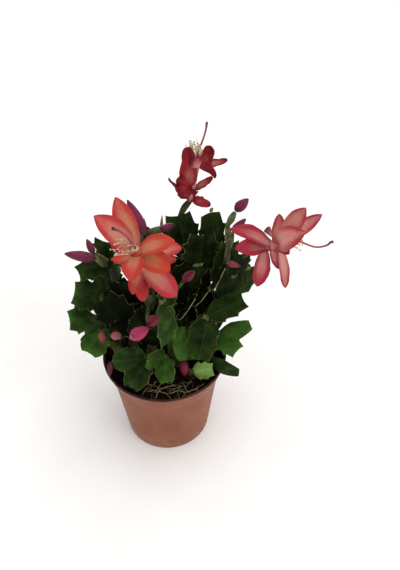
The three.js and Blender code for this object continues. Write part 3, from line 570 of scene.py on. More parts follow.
BUD_PROFILE = [
    (0, 0.34), (0.06, 0.52), (0.14, 0.72), (0.25, 0.89), (0.36, 0.98), (0.46, 1), (0.56, 0.95),
    (0.67, 0.84), (0.78, 0.69), (0.87, 0.5), (0.94, 0.32), (1, 0.14),
]
WOODY_PROFILE = [(0, 0.5), (0.12, 0.66), (0.3, 0.88), (0.5, 1), (0.7, 0.86), (0.88, 0.68), (1, 0.5)]
# Places across a leaf, a petal and a bud's scale, as shares of the half width.
LEAF_ACROSS = (-1, -0.93, -0.8, -0.62, -0.42, -0.24, -0.1, 0, 0.1, 0.24, 0.42, 0.62, 0.8, 0.93, 1)
PETAL_ACROSS = (-1, -0.9, -0.72, -0.48, -0.24, 0, 0.24, 0.48, 0.72, 0.9, 1)
SCALE_ACROSS = (-1, -0.5, 0, 0.5, 1)

# How far a leaf's margin waves, and a lobed one's.
WAVE = 0.42
LOBED_WAVE = 0.75
# Where the woolly notches of a leaf are along it and across, the radii of their tufts and of the
# tip's, and how far the two corners of its end reach.
TEETH = (0.37, 0.695)
NOTCH_OUT = 0.88
TUFT_R = 0.34
TIP_TUFT_R = 0.5
CORNER_END = 0.983
# Widths: a joint up to the first is barky, a petal up to the second is narrow, and a bud past the
# third has scales.
BARKY_MOST = 13.5
NARROW_MOST = 10.5
SCALED_FROM = 5
# The joint of a stem that a bloom's ovary stands on, and the bloom that withers.
OVARY_JOINT = 3
WORN_BLOOM = "bloom_top"

draw = random.Random(11)


def any_angle():
    return draw.random() * tau


def off_centre():
    """A draw between -0.5 and 0.5."""
    return draw.random() - 0.5


def on_disc(r_most):
    """Any place on the soil within a radius."""
    a, r = any_angle(), r_most * sqrt(draw.random())
    return r * cos(a), r * sin(a)


def put(name, data):
    """A new object in the scene."""
    made = bpy.data.objects.new(name, data)
    bpy.context.scene.collection.objects.link(made)
    return made


def mesh_from(name, bm):
    """A new mesh from a bmesh, which is then done with."""
    mesh = bpy.data.meshes.new(name)
    bm.to_mesh(mesh)
    bm.free()
    return mesh


class Clay:
    """A mesh in the making, in millimetres. Its points carry place (along, across) and tint."""

    def __init__(self):
        self.bm = bmesh.new()
        self.place = self.bm.verts.layers.float_vector.new("place")
        self.tint = self.bm.verts.layers.float_vector.new("tint")
        self.hook = self.bm.verts.layers.float.new("hook")

    def paint(self, verts, material=0, tint=None):
        """Gives points their tint and the faces round them their material."""
        for v in verts:
            if tint is not None:
                v[self.tint] = tint
            for face in v.link_faces:
                face.material_index = material

    def net(self, rows, columns):
        """A flat grid of points, with each point's row and column."""
        made = bmesh.ops.create_grid(self.bm, x_segments=rows, y_segments=columns, size=1)["verts"]
        return [(v, round((v.co.x + 1) / 2 * rows), round((v.co.y + 1) / 2 * columns)) for v in made]

    def blade(self, outline, across, point, tint):
        """A closed thin blade: a grid, extruded to its other face, each face at its own height."""
        net = self.net(len(outline) - 1, len(across) - 1)
        for v, i, j in net:
            v[self.place] = (outline[i][0], across[j], outline[i][1])
            v[self.tint] = tint
            v[self.hook] = outline[i][2] if len(outline[i]) > 2 else 0
        under = [v for v, _, _ in net]
        faces = list(dict.fromkeys(face for v in under for face in v.link_faces))
        grown = bmesh.ops.extrude_face_region(self.bm, geom=faces, use_keep_orig=True)["geom"]
        over = [e for e in grown if isinstance(e, bmesh.types.BMVert)]
        for side, verts in ((-1, under), (1, over)):
            for v in verts:
                v.co = point(*v[self.place], side, v[self.hook])

    def rod(self, points, radii, sides, tint, side=None, material=0, shape=None):
        """A closed round rod through points; each radius is one number or two half axes."""
        rings = ring_frames(points, side)
        last = len(points) + 1
        net = self.net(last, sides)
        for v, i, j in net:
            k = min(max(i - 1, 0), last - 2)
            p, s, n = rings[k]
            a, b = radii[k] if np.ndim(radii[k]) else (radii[k], radii[k])
            along = k / (last - 2)
            t = tau * (j % sides) / sides
            swell = shape(along, t) if shape else 1
            if i in (0, last):
                swell = 0
            v.co = p + (s * (a * cos(t)) + n * (b * sin(t))) * swell
            v[self.place] = (along, j / sides, 0)
        verts = [v for v, _, _ in net]
        self.paint(verts, material, tint)
        bmesh.ops.remove_doubles(self.bm, verts=verts, dist=1e-5)

    def lump(self, centre, radius, stretch, tint, rough=0.0, detail=1):
        """A small closed lump of the piece's second material, with its own turn and stretch."""
        turned = Matrix.Rotation(any_angle(), 4, "Z") @ Matrix.Rotation(any_angle(), 4, "X")
        sized = Matrix.Diagonal((*[radius * k for k in stretch], 1))
        placed = Matrix.Translation(Vector(centre)) @ turned @ sized
        made = bmesh.ops.create_icosphere(self.bm, subdivisions=detail, radius=1, matrix=placed)["verts"]
        for v in made:
            v.co += Vector([radius * rough * off_centre() for _ in range(3)])
            v[self.place] = (0.5, 0.5, 0)
        self.paint(made, 1, tint)

    def piece(self, name, node, slot, materials, sharp=None):
        """The finished mesh as a piece that stands for its solid."""
        bmesh.ops.recalc_face_normals(self.bm, faces=self.bm.faces)
        bmesh.ops.scale(self.bm, vec=(MM, MM, MM), verts=self.bm.verts)
        mesh = mesh_from(name, self.bm)
        mesh.polygons.foreach_set("use_smooth", [True] * len(mesh.polygons))
        if sharp:
            mesh.set_sharp_from_angle(angle=radians(sharp))
        for material in materials:
            mesh.materials.append(material)
        piece = put(name, mesh)
        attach(piece, "root")
        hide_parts(node)
        return piece


def ring_frames(points, side=None):
    """Each point of a rod with two directions across it, carried along without twist."""
    frames = []
    s = side
    for i, p in enumerate(points):
        d = unit(points[min(i + 1, len(points) - 1)] - points[max(i - 1, 0)])
        if s is None:
            s = np.cross(d, vec(0, 0, 1) if abs(d[2]) < 0.8 else vec(1, 0, 0))
        s = unit(s - d * (d @ s))
        frames.append((p, s, np.cross(s, d)))
    return frames


def eased(values, steps):
    """A smooth curve through a row of points or numbers."""
    values = [np.array(v, float) for v in values]
    made = []
    for i in range(len(values) - 1):
        p1, p2 = values[i], values[i + 1]
        p0 = values[i - 1] if i else p1 * 2 - p2
        p3 = values[i + 2] if i + 2 < len(values) else p2 * 2 - p1
        for k in range(steps):
            t = k / steps
            made.append(0.5 * (2 * p1 + (p2 - p0) * t + (2 * p0 - 5 * p1 + 4 * p2 - p3) * t**2
                               + (3 * p1 - p0 - 3 * p2 + p3) * t**3))
    made.append(values[-1])
    return made


# Leafy stems

def leaf(clay, f, tint):
    """A flat leaf with forward teeth, a raised rib and a notched end."""
    phase = any_angle()
    skew = 0.02 * off_centre()
    lobed = f.stem in LOBED_STEMS
    wave = (LOBED_WAVE if lobed else WAVE) * (0.6 + 0.6 * draw.random())

    def point(along, across, width, side, hook):
        b = abs(across)
        end = f.apex + (CORNER_END - f.apex) * b**1.6
        u = along * end if along else -3 / f.l
        u += skew * across * sin(pi * along) + hook * b**8
        v = across * width * f.w / 2
        rib = exp(-((v / 1.1) ** 2)) * (1 - 0.6 * along)
        half = LEAF_EDGE + (LEAF_RIB - LEAF_EDGE) * (0.5 * rib + 0.5 * (1 - b * b))
        ripple = wave * b * b * sin(phase + 7 * along + 2.4 * across)
        ripple += 0.3 * b * (1 - b) * sin(phase * 2 + 11 * along)
        return on_leaf(f, u, v) + f.n * (side * half + ripple)

    clay.blade(LOBED_OUTLINE if lobed else LEAF_OUTLINE, LEAF_ACROSS, point, tint)
    for tooth in TEETH:
        for hand in (-1, 1):
            spot = on_leaf(f, tooth, hand * NOTCH_OUT * f.w / 2)
            clay.lump(spot, TUFT_R, (1, 0.8, 1), tint)
            bristles(clay, spot, f, hand)
    clay.lump(on_leaf(f, f.apex, 0), TIP_TUFT_R, (1.5, 1, 1), tint)
    collar(clay, f, tint)


def bristles(clay, spot, f, hand):
    """Two short hairs that point out and forward from a notch."""
    for _ in range(2):
        way = f.s * hand + f.d * (0.4 + draw.random()) + f.n * off_centre()
        tip = spot + unit(way) * (0.4 + 0.4 * draw.random())
        clay.rod([spot, tip], [0.07, 0.03], 3, (0, 0, 0), material=1)


def collar(clay, f, tint):
    """The woody neck where a leaf grows out of the one below."""
    points = [f.b + f.d * k for k in (-1.6, -0.5, 0.7, 2.0)]
    wide = 0.12 * f.w
    radii = [(wide + 0.5, 1.0), (wide + 0.8, 1.35), (wide + 0.8, 1.3), (wide + 1.2, 0.9)]
    clay.rod(points, radii, 10, (tint[0], 1, tint[2]), side=f.s)


def woody(clay, f, tint):
    """A narrow joint: a flattened rod with shoulders."""
    points = [on_leaf(f, u, 0) for u, _ in WOODY_PROFILE]
    points[0] = points[0] - f.d * 2.5
    radii = [(k * f.w / 2, WOODY_THICK - 0.5 * u) for u, k in WOODY_PROFILE]
    clay.rod(points, radii, 14, tint, side=f.s)


def foot(clay, stem, f, tint):
    """The lowest joint: a round woody peg in the soil that flattens as it rises."""
    path = [vec(stem.x, stem.y, SOIL_Z - PEG_DEPTH), vec(stem.x, stem.y, SOIL_Z + 1.5), on_leaf(f, 0.5, 0),
            on_leaf(f, 1, 0)]
    radii = [(PEG_R, PEG_R), (PEG_R, PEG_R), (f.w / 2, 1.8), (f.w * 0.3, 1.3)]
    clay.rod(eased(path, 4), eased(radii, 4), 14, (tint[0], 1, tint[2]), side=f.s)


def ovary(clay, bloom, f):
    """The green knob between the last leaf and the bloom."""
    end = bloom.foot - bloom.axis * OVARY_GAP
    path = [f.end - f.d * 2, between(f.end, end, 0.55), end - bloom.axis * 0.6, end]

    def ridges(along, t):
        return 1 + 0.06 * cos(5 * t) * sin(pi * along)

    clay.rod(eased(path, 4), eased([1.6, 2.6, 2.1, 1.6], 4), 20, (0.25, 0.2, 0.5), shape=ridges)


def leafy_stem(name, stem):
    """A whole stem: its foot, its narrow woody joints, its leaves and the knob under a bloom."""
    clay = Clay()
    # A stem's green carries painted shade: the stems in the plant's middle are painted near black.
    freshness_and_shade, pale = STEM_LOOKS.get(name, PLAIN_LOOK)
    for f in stem.joints:
        youth_and_shade = freshness_and_shade + 0.14 * off_centre()
        tint = (youth_and_shade, 0, draw.random())
        if f.parent < 0:
            foot(clay, stem, f, tint)
        elif f.w <= WOODY_MOST:
            woody(clay, f, (youth_and_shade, 0.66 if f.w < BARKY_MOST else 0.06, 0.1))
        else:
            leaf(clay, f, (youth_and_shade, 0.0, pale))
    if name in blooms:
        ovary(clay, blooms[name], stem.joints[OVARY_JOINT])
    skin = young_finish if freshness_and_shade >= GLOSSY_FROM else leaf_finish
    clay.piece("leafy_" + name, "stem_" + name, "leaf", [skin, felt_finish])


# Buds

def bud_piece(name, bud):
    """A slender bud of overlapping tepals with small scales at its foot."""
    clay = Clay()
    points = [bud.foot + bud.way * (bud.l * t) for t, _ in BUD_PROFILE]
    radii = [max(0.35, k * bud.w / 2) for _, k in BUD_PROFILE]
    start = any_angle()

    def seams(along, t):
        spiral = (3 * (t + start) / tau + 0.9 * along) % 1
        second = (2 * (t + start) / tau - 0.7 * along + 0.3) % 1
        return 0.92 + 0.085 * spiral * sin(pi * min(1, along * 1.2 + 0.15)) + 0.03 * second

    clay.rod(eased(points, 2), eased(radii, 2), 30, (0, 0, draw.random()), shape=seams)
    if bud.w > SCALED_FROM:
        for k in range(4):
            scale_leaf(clay, bud, start + tau * k / 4 + 0.4 * draw.random(), 0.26 + 0.16 * draw.random())
    clay.piece("flower_" + name, name, "bud", [bud_finish[BUDS[name][-1]]])


def scale_leaf(clay, bud, turned, reach):
    """A short scale that hugs a bud's foot."""
    _, s, n = ring_frames([bud.foot, bud.foot + bud.way])[0]

    def point(along, across, width, side, hook):
        t = along * reach
        r = width_at(BUD_PROFILE, t) * bud.w / 2 + 0.12 + 0.25 * along**2 + side * 0.14
        return bud.foot + bud.way * (bud.l * t) + spoke(s, n, turned + across * width * 0.5) * r

    clay.blade(SCALE_OUTLINE, SCALE_ACROSS, point, (1, 0, draw.random()))


# Blooms

def petal(clay, f, tint, crumple, worn):
    """A petal with a soft ruffle, a fine point and, when it withers, folds."""
    phase = any_angle()
    ruffle = 0.25 + 0.35 * draw.random()
    outline = WORN_OUTLINE if worn else NARROW_OUTLINE if f.w < NARROW_MOST else PETAL_OUTLINE

    def point(along, across, width, side, hook):
        v = across * width * f.w / 2
        v *= 1 + 0.16 * crumple * noise.noise(Vector((along * 9, across, phase)))
        half = PETAL_EDGE + (PETAL_RIB - PETAL_EDGE) * exp(-((across * 2.4) ** 2)) * (1 - 0.7 * along)
        lift = ruffle * along * across * across * sin(phase + 8 * along + 3 * across)
        lift += 0.06 * cos(across * 9) * (1 - along)
        lift += crumple * noise.noise(Vector((along * 3.2, across * 2.6, phase)))
        return on_petal(f, along, v) + f.n * (side * half + lift)

    clay.blade(outline, PETAL_ACROSS, point, tint)


def bloom_pieces(name, bloom):
    """A bloom's three pieces: corolla, threads and style."""
    look = BLOOM_LOOKS[name]
    worn = name == WORN_BLOOM
    corolla(name, bloom, look, worn)
    threads(name, bloom, look)
    style(name, bloom, look.bend, 0.45 if worn else 0.72)


def corolla(name, bloom, look, worn):
    """The fluted tube with its petals."""
    clay = Clay()
    r0, r1 = bloom.tube
    path = [between(bloom.foot, bloom.throat, t) for t in (0, 0.12, 0.25, 0.48, 0.7, 1)] + [bloom.neck]
    radii = [r0 * 0.8, r0 * 0.95, r0, r0 * 0.55 + r1 * 0.45, (r0 + r1) / 2, r1, NECK_R]

    def flutes(along, t):
        return 1 + 0.03 * cos(6 * t)

    clay.rod(eased(path, 3), eased(radii, 3), 24, (*look.tube_tint, 0.5), shape=flutes)
    for f, (deep, warm) in zip(bloom.petals, look.petal_tints):
        petal(clay, f, (deep, warm, draw.random()), look.crumple, worn)
    for row in look.wilted:
        petal(clay, petal_frame(bloom, row), (1.1, 0.4, draw.random()), 0.6, True)
    clay.piece(name + "_corolla", name + "_petals", look.slot, [look.silk])


def threads(name, bloom, look):
    """The stamens on their ring: those of the solids and more between them."""
    clay = Clay()
    ring = [bloom.seat + bloom.axis * k for k in (0, 0.4, RING_H - 0.3, RING_H)]
    clay.rod(ring, [2.2, 2.35, 2.3, 1.9], 24, (1, 0, 0))
    for path in bloom.threads:
        filament(clay, path, 0.2)
    for k in range(look.more_threads):
        spread = 1.2 + look.spread * draw.random()
        filament(clay, thread(bloom, any_angle(), spread, 5 * draw.random() - 3), 0.17)
    clay.piece(name + "_threads", name + "_stamens", "stamen", [thread_finish, pollen_finish])


def filament(clay, path, r):
    """A stamen's thread with its pollen head."""
    curve = eased(path, 4)
    clay.rod(curve, [r * (1 - 0.4 * k / len(curve)) for k in range(len(curve))], 5, (1, 0, 0))
    clay.lump(path[-1], 0.5, (0.8, 0.8, 1.4), (0, 0, draw.random()), rough=0.12, detail=2)


def style(name, bloom, bend, open_by):
    """The long style, bent a little, with its head."""
    clay = Clay()
    lift = bloom.neck + bloom.axis * 6
    sway = between(lift, bloom.style, 0.5)
    path = [bloom.neck + bloom.axis * STYLE_LIFT, lift, sway + bend,
            between(sway, bloom.style, 0.62) + bend * 0.7, between(sway, bloom.style, 0.86)]
    clay.rod(eased(path, 5), eased([0.9, 0.8, 0.7, 0.72, 0.9], 5), 14, (0, 0, 0))
    stigma(clay, between(sway, bloom.style, 0.84), bloom.style, open_by)
    clay.piece(name + "_stigma", name + "_style", "style", [style_finish])


def stigma(clay, start, end, open_by):
    """The head of a style: six short lobes that open a little."""
    reach = end - start
    _, s, n = ring_frames([start, end])[0]
    for k in range(6):
        ray = spoke(s, n, tau * k / 6 + 0.3)
        path = [start, start + reach * 0.35 + ray * 0.45, start + reach * 0.72 + ray * (open_by + 0.05),
                end - reach * 0.06 + ray * open_by]
        clay.rod(path, [0.42, 0.44, 0.42, 0.22], 7, (1, 0, 0))


# Pot and soil

# The pot's profile, radius and height, from the middle of its base up the outside and down inside.
POT_CORNERS = [
    (0, 0), (16, 0), (17, 1.5), (27, 1.5), (28, 0), (BASE_R - 0.6, 0), (BASE_R, 0.7), (45.9, 70.5),
    (48.7, 77.5), (51.5, 88.4), (RIM_R, 89.4), (RIM_R, 90.5), (RIM_R - 0.6, POT_H),
    (RIM_R - 1.6, POT_H), (50.2, 89.6), (47.6, 77.8), (45.3, 76.4), (BASE_R - WALL, FLOOR), (0, FLOOR),
]
# How far from its corner each corner's rounding starts.
ROUNDING = 0.5


def rounded(corners, cut):
    """A profile with each inner corner eased by a short curve."""
    made = [corners[0]]
    for before, corner, after in zip(corners, corners[1:], corners[2:]):
        c = vec(*corner)
        arms = [vec(*p) - c for p in (before, after)]
        first, last = [c + arm / hypot(*arm) * min(cut, 0.45 * hypot(*arm)) for arm in arms]
        for t in (0, 0.33, 0.67, 1):
            made.append(tuple(first * (1 - t) ** 2 + c * 2 * t * (1 - t) + last * t * t))
    return made + [corners[-1]]


def pot():
    """The tapered pot with its collar and lip, turned on its axis, with drain holes under it."""
    clay = Clay()
    turned = rounded(POT_CORNERS, ROUNDING)
    lip = max(k for k, (r, z) in enumerate(turned) if z > POT_H - 0.01)
    profile = [clay.bm.verts.new((r, 0, z)) for r, z in turned]
    # Points inside the pot are marked for the painted shade inside it.
    for v in profile[lip + 2:]:
        v[clay.tint] = (1, 0, 0)
    edges = [clay.bm.edges.new(pair) for pair in zip(profile, profile[1:])]
    bmesh.ops.spin(clay.bm, geom=profile + edges, cent=(0, 0, 0), axis=(0, 0, 1), angle=tau, steps=96,
                   use_merge=True)
    bmesh.ops.remove_doubles(clay.bm, verts=clay.bm.verts, dist=1e-4)
    piece = clay.piece("nursery_pot", "pot", "pot", [pot_finish], sharp=35)
    drill = drain_drill()
    cut = piece.modifiers.new("drain_holes", "BOOLEAN")
    cut.operation = "DIFFERENCE"
    cut.solver = "EXACT"
    cut.object = drill
    shaped = bpy.data.meshes.new_from_object(piece.evaluated_get(bpy.context.evaluated_depsgraph_get()))
    piece.modifiers.remove(cut)
    piece.data = shaped
    bpy.data.objects.remove(drill)


def drain_drill():
    """Round bars through the floor, where the pot drains."""
    bm = bmesh.new()
    for k in range(4):
        a = tau * (k + 0.5) / 4
        spot = Matrix.Translation((DRAIN_RING * cos(a), DRAIN_RING * sin(a), FLOOR / 2))
        bmesh.ops.create_cone(bm, cap_ends=True, segments=24, radius1=DRAIN_R, radius2=DRAIN_R,
                              depth=FLOOR * 2, matrix=spot)
    bmesh.ops.scale(bm, vec=(MM, MM, MM), verts=bm.verts)
    return put("drill", mesh_from("drill", bm))


def soil_at(x, y):
    """Height of the soil, as in the solids."""
    r = hypot(x, y)
    rough = 0.55 * sin(0.42 * x + 1.3) * cos(0.37 * y) + 0.35 * sin(0.9 * x - 0.7 * y)
    return SOIL_Z - 1.2 + rough - 1.6 * (r / 47) ** 4


def ground(x, y):
    """The same with its fine crumb."""
    return soil_at(x, y) + 0.9 * noise.fractal(Vector((x, y, 3)) * 0.35, 0.8, 2.1, 4)


# The soil's gap to the floor, its rings and sides, and how many crumbs and bark chips lie on it,
# within which radius.
SOIL_GAP = 0.3
SOIL_RINGS = 34
SOIL_SIDES = 120
CRUMBS = 520
CRUMB_REACH = 46
BARK_CHIPS = 46
CHIP_REACH = 43


def soil():
    """The filled pot's soil: a crumbly top with loose crumbs and bark on it."""
    clay = Clay()
    top = [(k * SOIL_R / SOIL_RINGS, None) for k in range(SOIL_RINGS + 1)]
    bottom = FLOOR + SOIL_GAP
    walls = [(SOIL_R, 77.9), (SOIL_R - 2.4, 76.7), (BASE_R - WALL - 0.5, bottom), (0, bottom)]
    rings = top + walls
    net = clay.net(len(rings) - 1, SOIL_SIDES)
    for v, i, j in net:
        a = tau * (j % SOIL_SIDES) / SOIL_SIDES
        r, z = rings[i]
        x, y = r * cos(a), r * sin(a)
        v.co = (x, y, ground(x, y) if z is None else z)
        v[clay.place] = (0.5, 0.5, 0)
    bmesh.ops.remove_doubles(clay.bm, verts=[v for v, _, _ in net], dist=1e-5)
    for _ in range(CRUMBS):
        x, y = on_disc(CRUMB_REACH)
        size = 0.45 + 1.1 * draw.random() ** 2
        if hypot(x, y) <= SOIL_R - size:
            tint = (draw.random(), 0, draw.random())
            clay.lump((x, y, ground(x, y) + 0.25 * size), size, (1, 0.8, 0.7), tint, rough=0.5)
    for _ in range(BARK_CHIPS):
        x, y = on_disc(CHIP_REACH)
        size = 1.3 + 1.2 * draw.random()
        tint = (0.4 + 0.6 * draw.random(), 0.5, draw.random())
        clay.lump((x, y, ground(x, y) + 0.5), size, (1.3, 0.55, 0.3), tint, rough=0.25)
    clay.piece("peat_soil", "soil", "soil", [soil_finish, crumb_finish])


# The larger roots, as x and y along each, with their height over the soil and their radius.
ROOTS = [
    [(-12, -36), (-4, -36), (4, -38), (12, -35), (20, -36), (28, -32)],
    [(-6, -42), (-4, -36), (3, -31), (10, -30)],
    [(6, -43), (4, -38), (9, -33), (14, -31)],
    [(13, -42), (12, -35), (15, -30)],
    [(22, -38), (20, -36), (17, -31)],
    [(33, -27), (28, -32), (28, -36)],
]
ROOT_LIFT = 1.1
ROOT_R = 0.29
# How many fine fibres are tried, how many of them at the front, and within which radius.
FIBRES = 50
FRONT_FIBRES = 34
FIBRE_REACH = 44


def fibres():
    """Pale dry roots and fibres that creep over the soil, thickest at the front."""
    clay = Clay()
    for row in ROOTS:
        path = eased([vec(x, y, soil_at(x, y) + ROOT_LIFT) for x, y in row], 5)
        path = [p + vec(off_centre(), off_centre(), 0.8 * draw.random()) for p in path]
        radii = [ROOT_R * (0.7 + 0.4 * draw.random()) for _ in path]
        clay.rod(path, radii, 7, (draw.random(), 0, draw.random()))
    for k in range(FIBRES):
        if k < FRONT_FIBRES:
            x, y = 6 + 52 * off_centre(), -27 - 12 * draw.random()
        else:
            x, y = on_disc(FIBRE_REACH)
        if hypot(x, y) <= FIBRE_REACH:
            fibre(clay, x, y, 5 + 9 * draw.random())
    clay.piece("root_fibres", "surface_roots", "root", [fibre_finish])


def fibre(clay, x, y, reach):
    """A thin fibre that arches over the soil and ends before the pot's wall."""
    heading = any_angle()
    curl = 0.5 * off_centre()
    arch = 0.6 + 1.8 * draw.random()
    path = []
    for k in range(7):
        if hypot(x, y) > FIBRE_REACH + 1.5:
            break
        path.append(vec(x, y, ground(x, y) + 0.25 + arch * sin(pi * k / 6)))
        x, y = x + reach / 6 * cos(heading), y + reach / 6 * sin(heading)
        heading += curl + 0.5 * off_centre()
    if len(path) > 2:
        r = 0.1 + 0.11 * draw.random()
        clay.rod(path, [r * (1 - 0.08 * k) for k in range(len(path))], 5, (draw.random(), 0, draw.random()))


# Finishes

def shade(text):
    """Linear colour of a hex shade."""
    parts = [int(text[i:i + 2], 16) / 255 for i in (0, 2, 4)]
    return (*[p / 12.92 if p <= 0.04045 else ((p + 0.055) / 1.055) ** 2.4 for p in parts], 1)


class Finish:
    """A material in the making. It reads Object coordinates and the mesh's own place and tint."""

    def __init__(self, name, **sockets):
        self.material = bpy.data.materials.new(name)
        self.material.use_nodes = True
        self.tree = self.material.node_tree
        self.shader = self.tree.nodes["Principled BSDF"]
        self.where = self.add("TexCoord").outputs["Object"]
        for socket, value in sockets.items():
            self.shader.inputs[socket.replace("_", " ")].default_value = value

    def add(self, kind, *links, **settings):
        """A node with its sockets fed in their order."""
        node = self.tree.nodes.new("ShaderNode" + kind)
        for setting, value in settings.items():
            setattr(node, setting, value)
        for socket, value in zip(node.inputs, links):
            self.feed(socket, value)
        return node

    def feed(self, socket, value):
        """Gives a socket a link or a value; None leaves it as it is."""
        if isinstance(value, bpy.types.NodeSocket):
            self.tree.links.new(value, socket)
        elif value is not None:
            socket.default_value = value

    def own(self, name):
        """The three numbers that the mesh carries under a name."""
        read = self.add("Attribute", attribute_name=name)
        return list(self.add("SeparateXYZ", read.outputs["Vector"]).outputs)

    def height(self):
        return self.add("SeparateXYZ", self.where).outputs["Z"]

    def grain(self, size, detail=3, roughness=0.55, stretch=None):
        """Soft random pattern with features of a size in millimetres."""
        where = self.where
        if stretch:
            where = self.add("Mapping", where, None, None, stretch).outputs[0]
        node = self.add("TexNoise")
        self.feed(node.inputs["Vector"], where)
        self.feed(node.inputs["Scale"], 1 / (size * MM))
        self.feed(node.inputs["Detail"], detail)
        self.feed(node.inputs["Roughness"], roughness)
        return node.outputs["Fac"]

    def calc(self, operation, a, b=None, c=None):
        return self.add("Math", a, b, c, operation=operation).outputs[0]

    def plus(self, a, b):
        return self.calc("ADD", a, b)

    def times(self, a, b):
        return self.calc("MULTIPLY", a, b)

    def stir(self, value, pattern, amount):
        """A value moved up and down evenly by a pattern."""
        return self.plus(value, self.calc("MULTIPLY_ADD", pattern, amount, -amount / 2))

    def ramp(self, value, low, high, first=0.0, last=1.0):
        """A value brought smoothly from one range to another."""
        node = self.add("MapRange", value, low, high, first, last, interpolation_type="SMOOTHSTEP")
        return node.outputs[0]

    def mix(self, share, first, second):
        """Two colours mixed, each a hex shade or a link."""
        node = self.add("Mix", data_type="RGBA")
        for socket, value in ((node.inputs[0], share), (node.inputs[6], first), (node.inputs[7], second)):
            self.feed(socket, shade(value) if isinstance(value, str) else value)
        return node.outputs[2]

    def flecks(self, tone, other, size, detail=3, low=0.35, high=0.65, most=1.0):
        """A tone with random flecks of another."""
        return self.mix(self.ramp(self.grain(size, detail), low, high, 0, most), tone, other)

    def colour(self, value):
        self.feed(self.shader.inputs["Base Color"], value)

    def roughness(self, value):
        self.feed(self.shader.inputs["Roughness"], value)

    def dull(self, size, least, most):
        """Roughness that wanders between two values."""
        self.roughness(self.ramp(self.grain(size), 0.3, 0.7, least, most))

    def relief(self, height, depth, strength=1.0):
        """Fine relief, its depth in millimetres."""
        node = self.add("Bump")
        self.feed(node.inputs["Strength"], strength)
        self.feed(node.inputs["Distance"], depth * MM)
        self.feed(node.inputs["Height"], height)
        self.feed(self.shader.inputs["Normal"], node.outputs[0])


# Greens of a leaf, from a near black for old leaves and painted shade, each with the lightness over which
# it takes the place of the one before.
OLD_AND_SHADED_GREEN = "090f04"
GREENS = [(0, 0.5, "1d2c0b"), (0.4, 1.0, "3a5e20"), (0.95, 1.7, "7c9a50")]


def leaf_skin(name, gloss, rough):
    """Waxy skin: dark when old, bright green when new, near black as painted shade; pale or woody margins.
    """
    m = Finish(name, Specular_IOR_Level=gloss, Subsurface_Weight=0.03,
               Subsurface_Radius=(0.001, 0.002, 0.0005), Subsurface_Scale=0.4)
    along, across, _ = m.own("place")
    youth_and_shade, bark, pale = m.own("tint")
    rim = m.calc("ABSOLUTE", across)
    patches = m.grain(9, 4)
    fine = m.grain(1.1)
    # Lightness from the stem's tint, which carries painted shade, with a little more towards the tip.
    freshness_and_shade = m.plus(m.stir(youth_and_shade, patches, 1.1), m.ramp(along, 0.5, 1.1, 0, 0.12))
    green = OLD_AND_SHADED_GREEN
    for low, high, lighter_green in GREENS:
        green = m.mix(m.ramp(freshness_and_shade, low, high), green, lighter_green)
    rib = m.ramp(rim, 0.0, 0.07, 1, 0)
    green = m.mix(m.times(rib, m.ramp(youth_and_shade, 0, 0.4, 0.03, 0.14)), green, "5a6f3c")
    worn = m.ramp(m.stir(rim, fine, 0.16), 0.93, 0.99)
    worn = m.times(worn, m.calc("MULTIPLY_ADD", pale, 0.85, 0.08))
    margin = m.flecks("8b8760", "6f4a38", 5, 2, 0.45)
    margin = m.mix(m.ramp(youth_and_shade, 0.3, 0.6), margin, "7f9350")
    green = m.mix(worn, green, margin)
    # Woody joints painted darker low down as painted shade, and lighter high up as painted light.
    painted_light_by_height = m.ramp(m.height(), 0.13, 0.2)
    streaks = m.ramp(m.grain(2.6, 4, stretch=(1, 1, 0.4)), 0.35, 0.65)
    wood = m.mix(streaks, m.mix(painted_light_by_height, "2f381b", "4a5530"), m.mix(painted_light_by_height, "4c4c2b", "8a845e"))
    m.colour(m.mix(bark, green, wood))
    m.roughness(m.ramp(m.grain(3, 4), 0.2, 0.8, rough, rough + 0.2))
    m.relief(m.calc("MULTIPLY_ADD", patches, 1.6, m.times(fine, 0.35)), 0.4, 0.7)
    return m.material


def felt():
    """Woolly tufts at the notches and tips."""
    m = Finish("areole_felt", Specular_IOR_Level=0.1, Sheen_Weight=0.3)
    m.colour(m.flecks("584a33", "8f7f5c", 0.5, 4))
    m.dull(0.8, 0.8, 0.95)
    m.relief(m.grain(0.25, 2), 0.12)
    return m.material


def petal_silk(name, pale, rich, depth, foot_fade, burnt):
    """Thin silky petal: pale down its middle, richer to its edge and tip, in fine long veins."""
    m = Finish(name, Specular_IOR_Level=0.12, Subsurface_Weight=0.22,
               Subsurface_Radius=(0.004, 0.0016, 0.001), Subsurface_Scale=0.6)
    along, across, share = m.own("place")
    deep, warm, chance = m.own("tint")
    rim = m.calc("ABSOLUTE", across)
    blush = m.plus(m.ramp(rim, 0.2, 1.0, -0.06, 0.46), m.ramp(along, 0.35, 1.0, 0, 0.52))
    blush = m.plus(blush, m.ramp(along, 0, 0.4, foot_fade, 0))
    blush = m.plus(blush, m.times(deep, depth))
    lane = m.times(m.times(across, share), 11)
    reach = m.calc("MULTIPLY_ADD", along, 1.6, m.times(chance, 30))
    veins = m.add("TexNoise", m.add("CombineXYZ", lane, reach).outputs[0], None, 1.0,
                  3.0).outputs["Fac"]
    patchy = m.grain(5)
    blush = m.stir(m.stir(blush, patchy, 0.3), veins, 0.4)
    tone = m.mix(m.ramp(blush, 0.05, 1.0), m.mix(warm, *pale), m.mix(warm, *rich))
    tip = m.ramp(m.stir(along, patchy, 0.3), 0.78, 1.0, 0, burnt)
    m.colour(m.mix(tip, tone, "3c0e18"))
    m.dull(2, 0.42, 0.6)
    m.relief(m.calc("MULTIPLY_ADD", patchy, 1.2, veins), 0.2, 0.7)
    return m.material


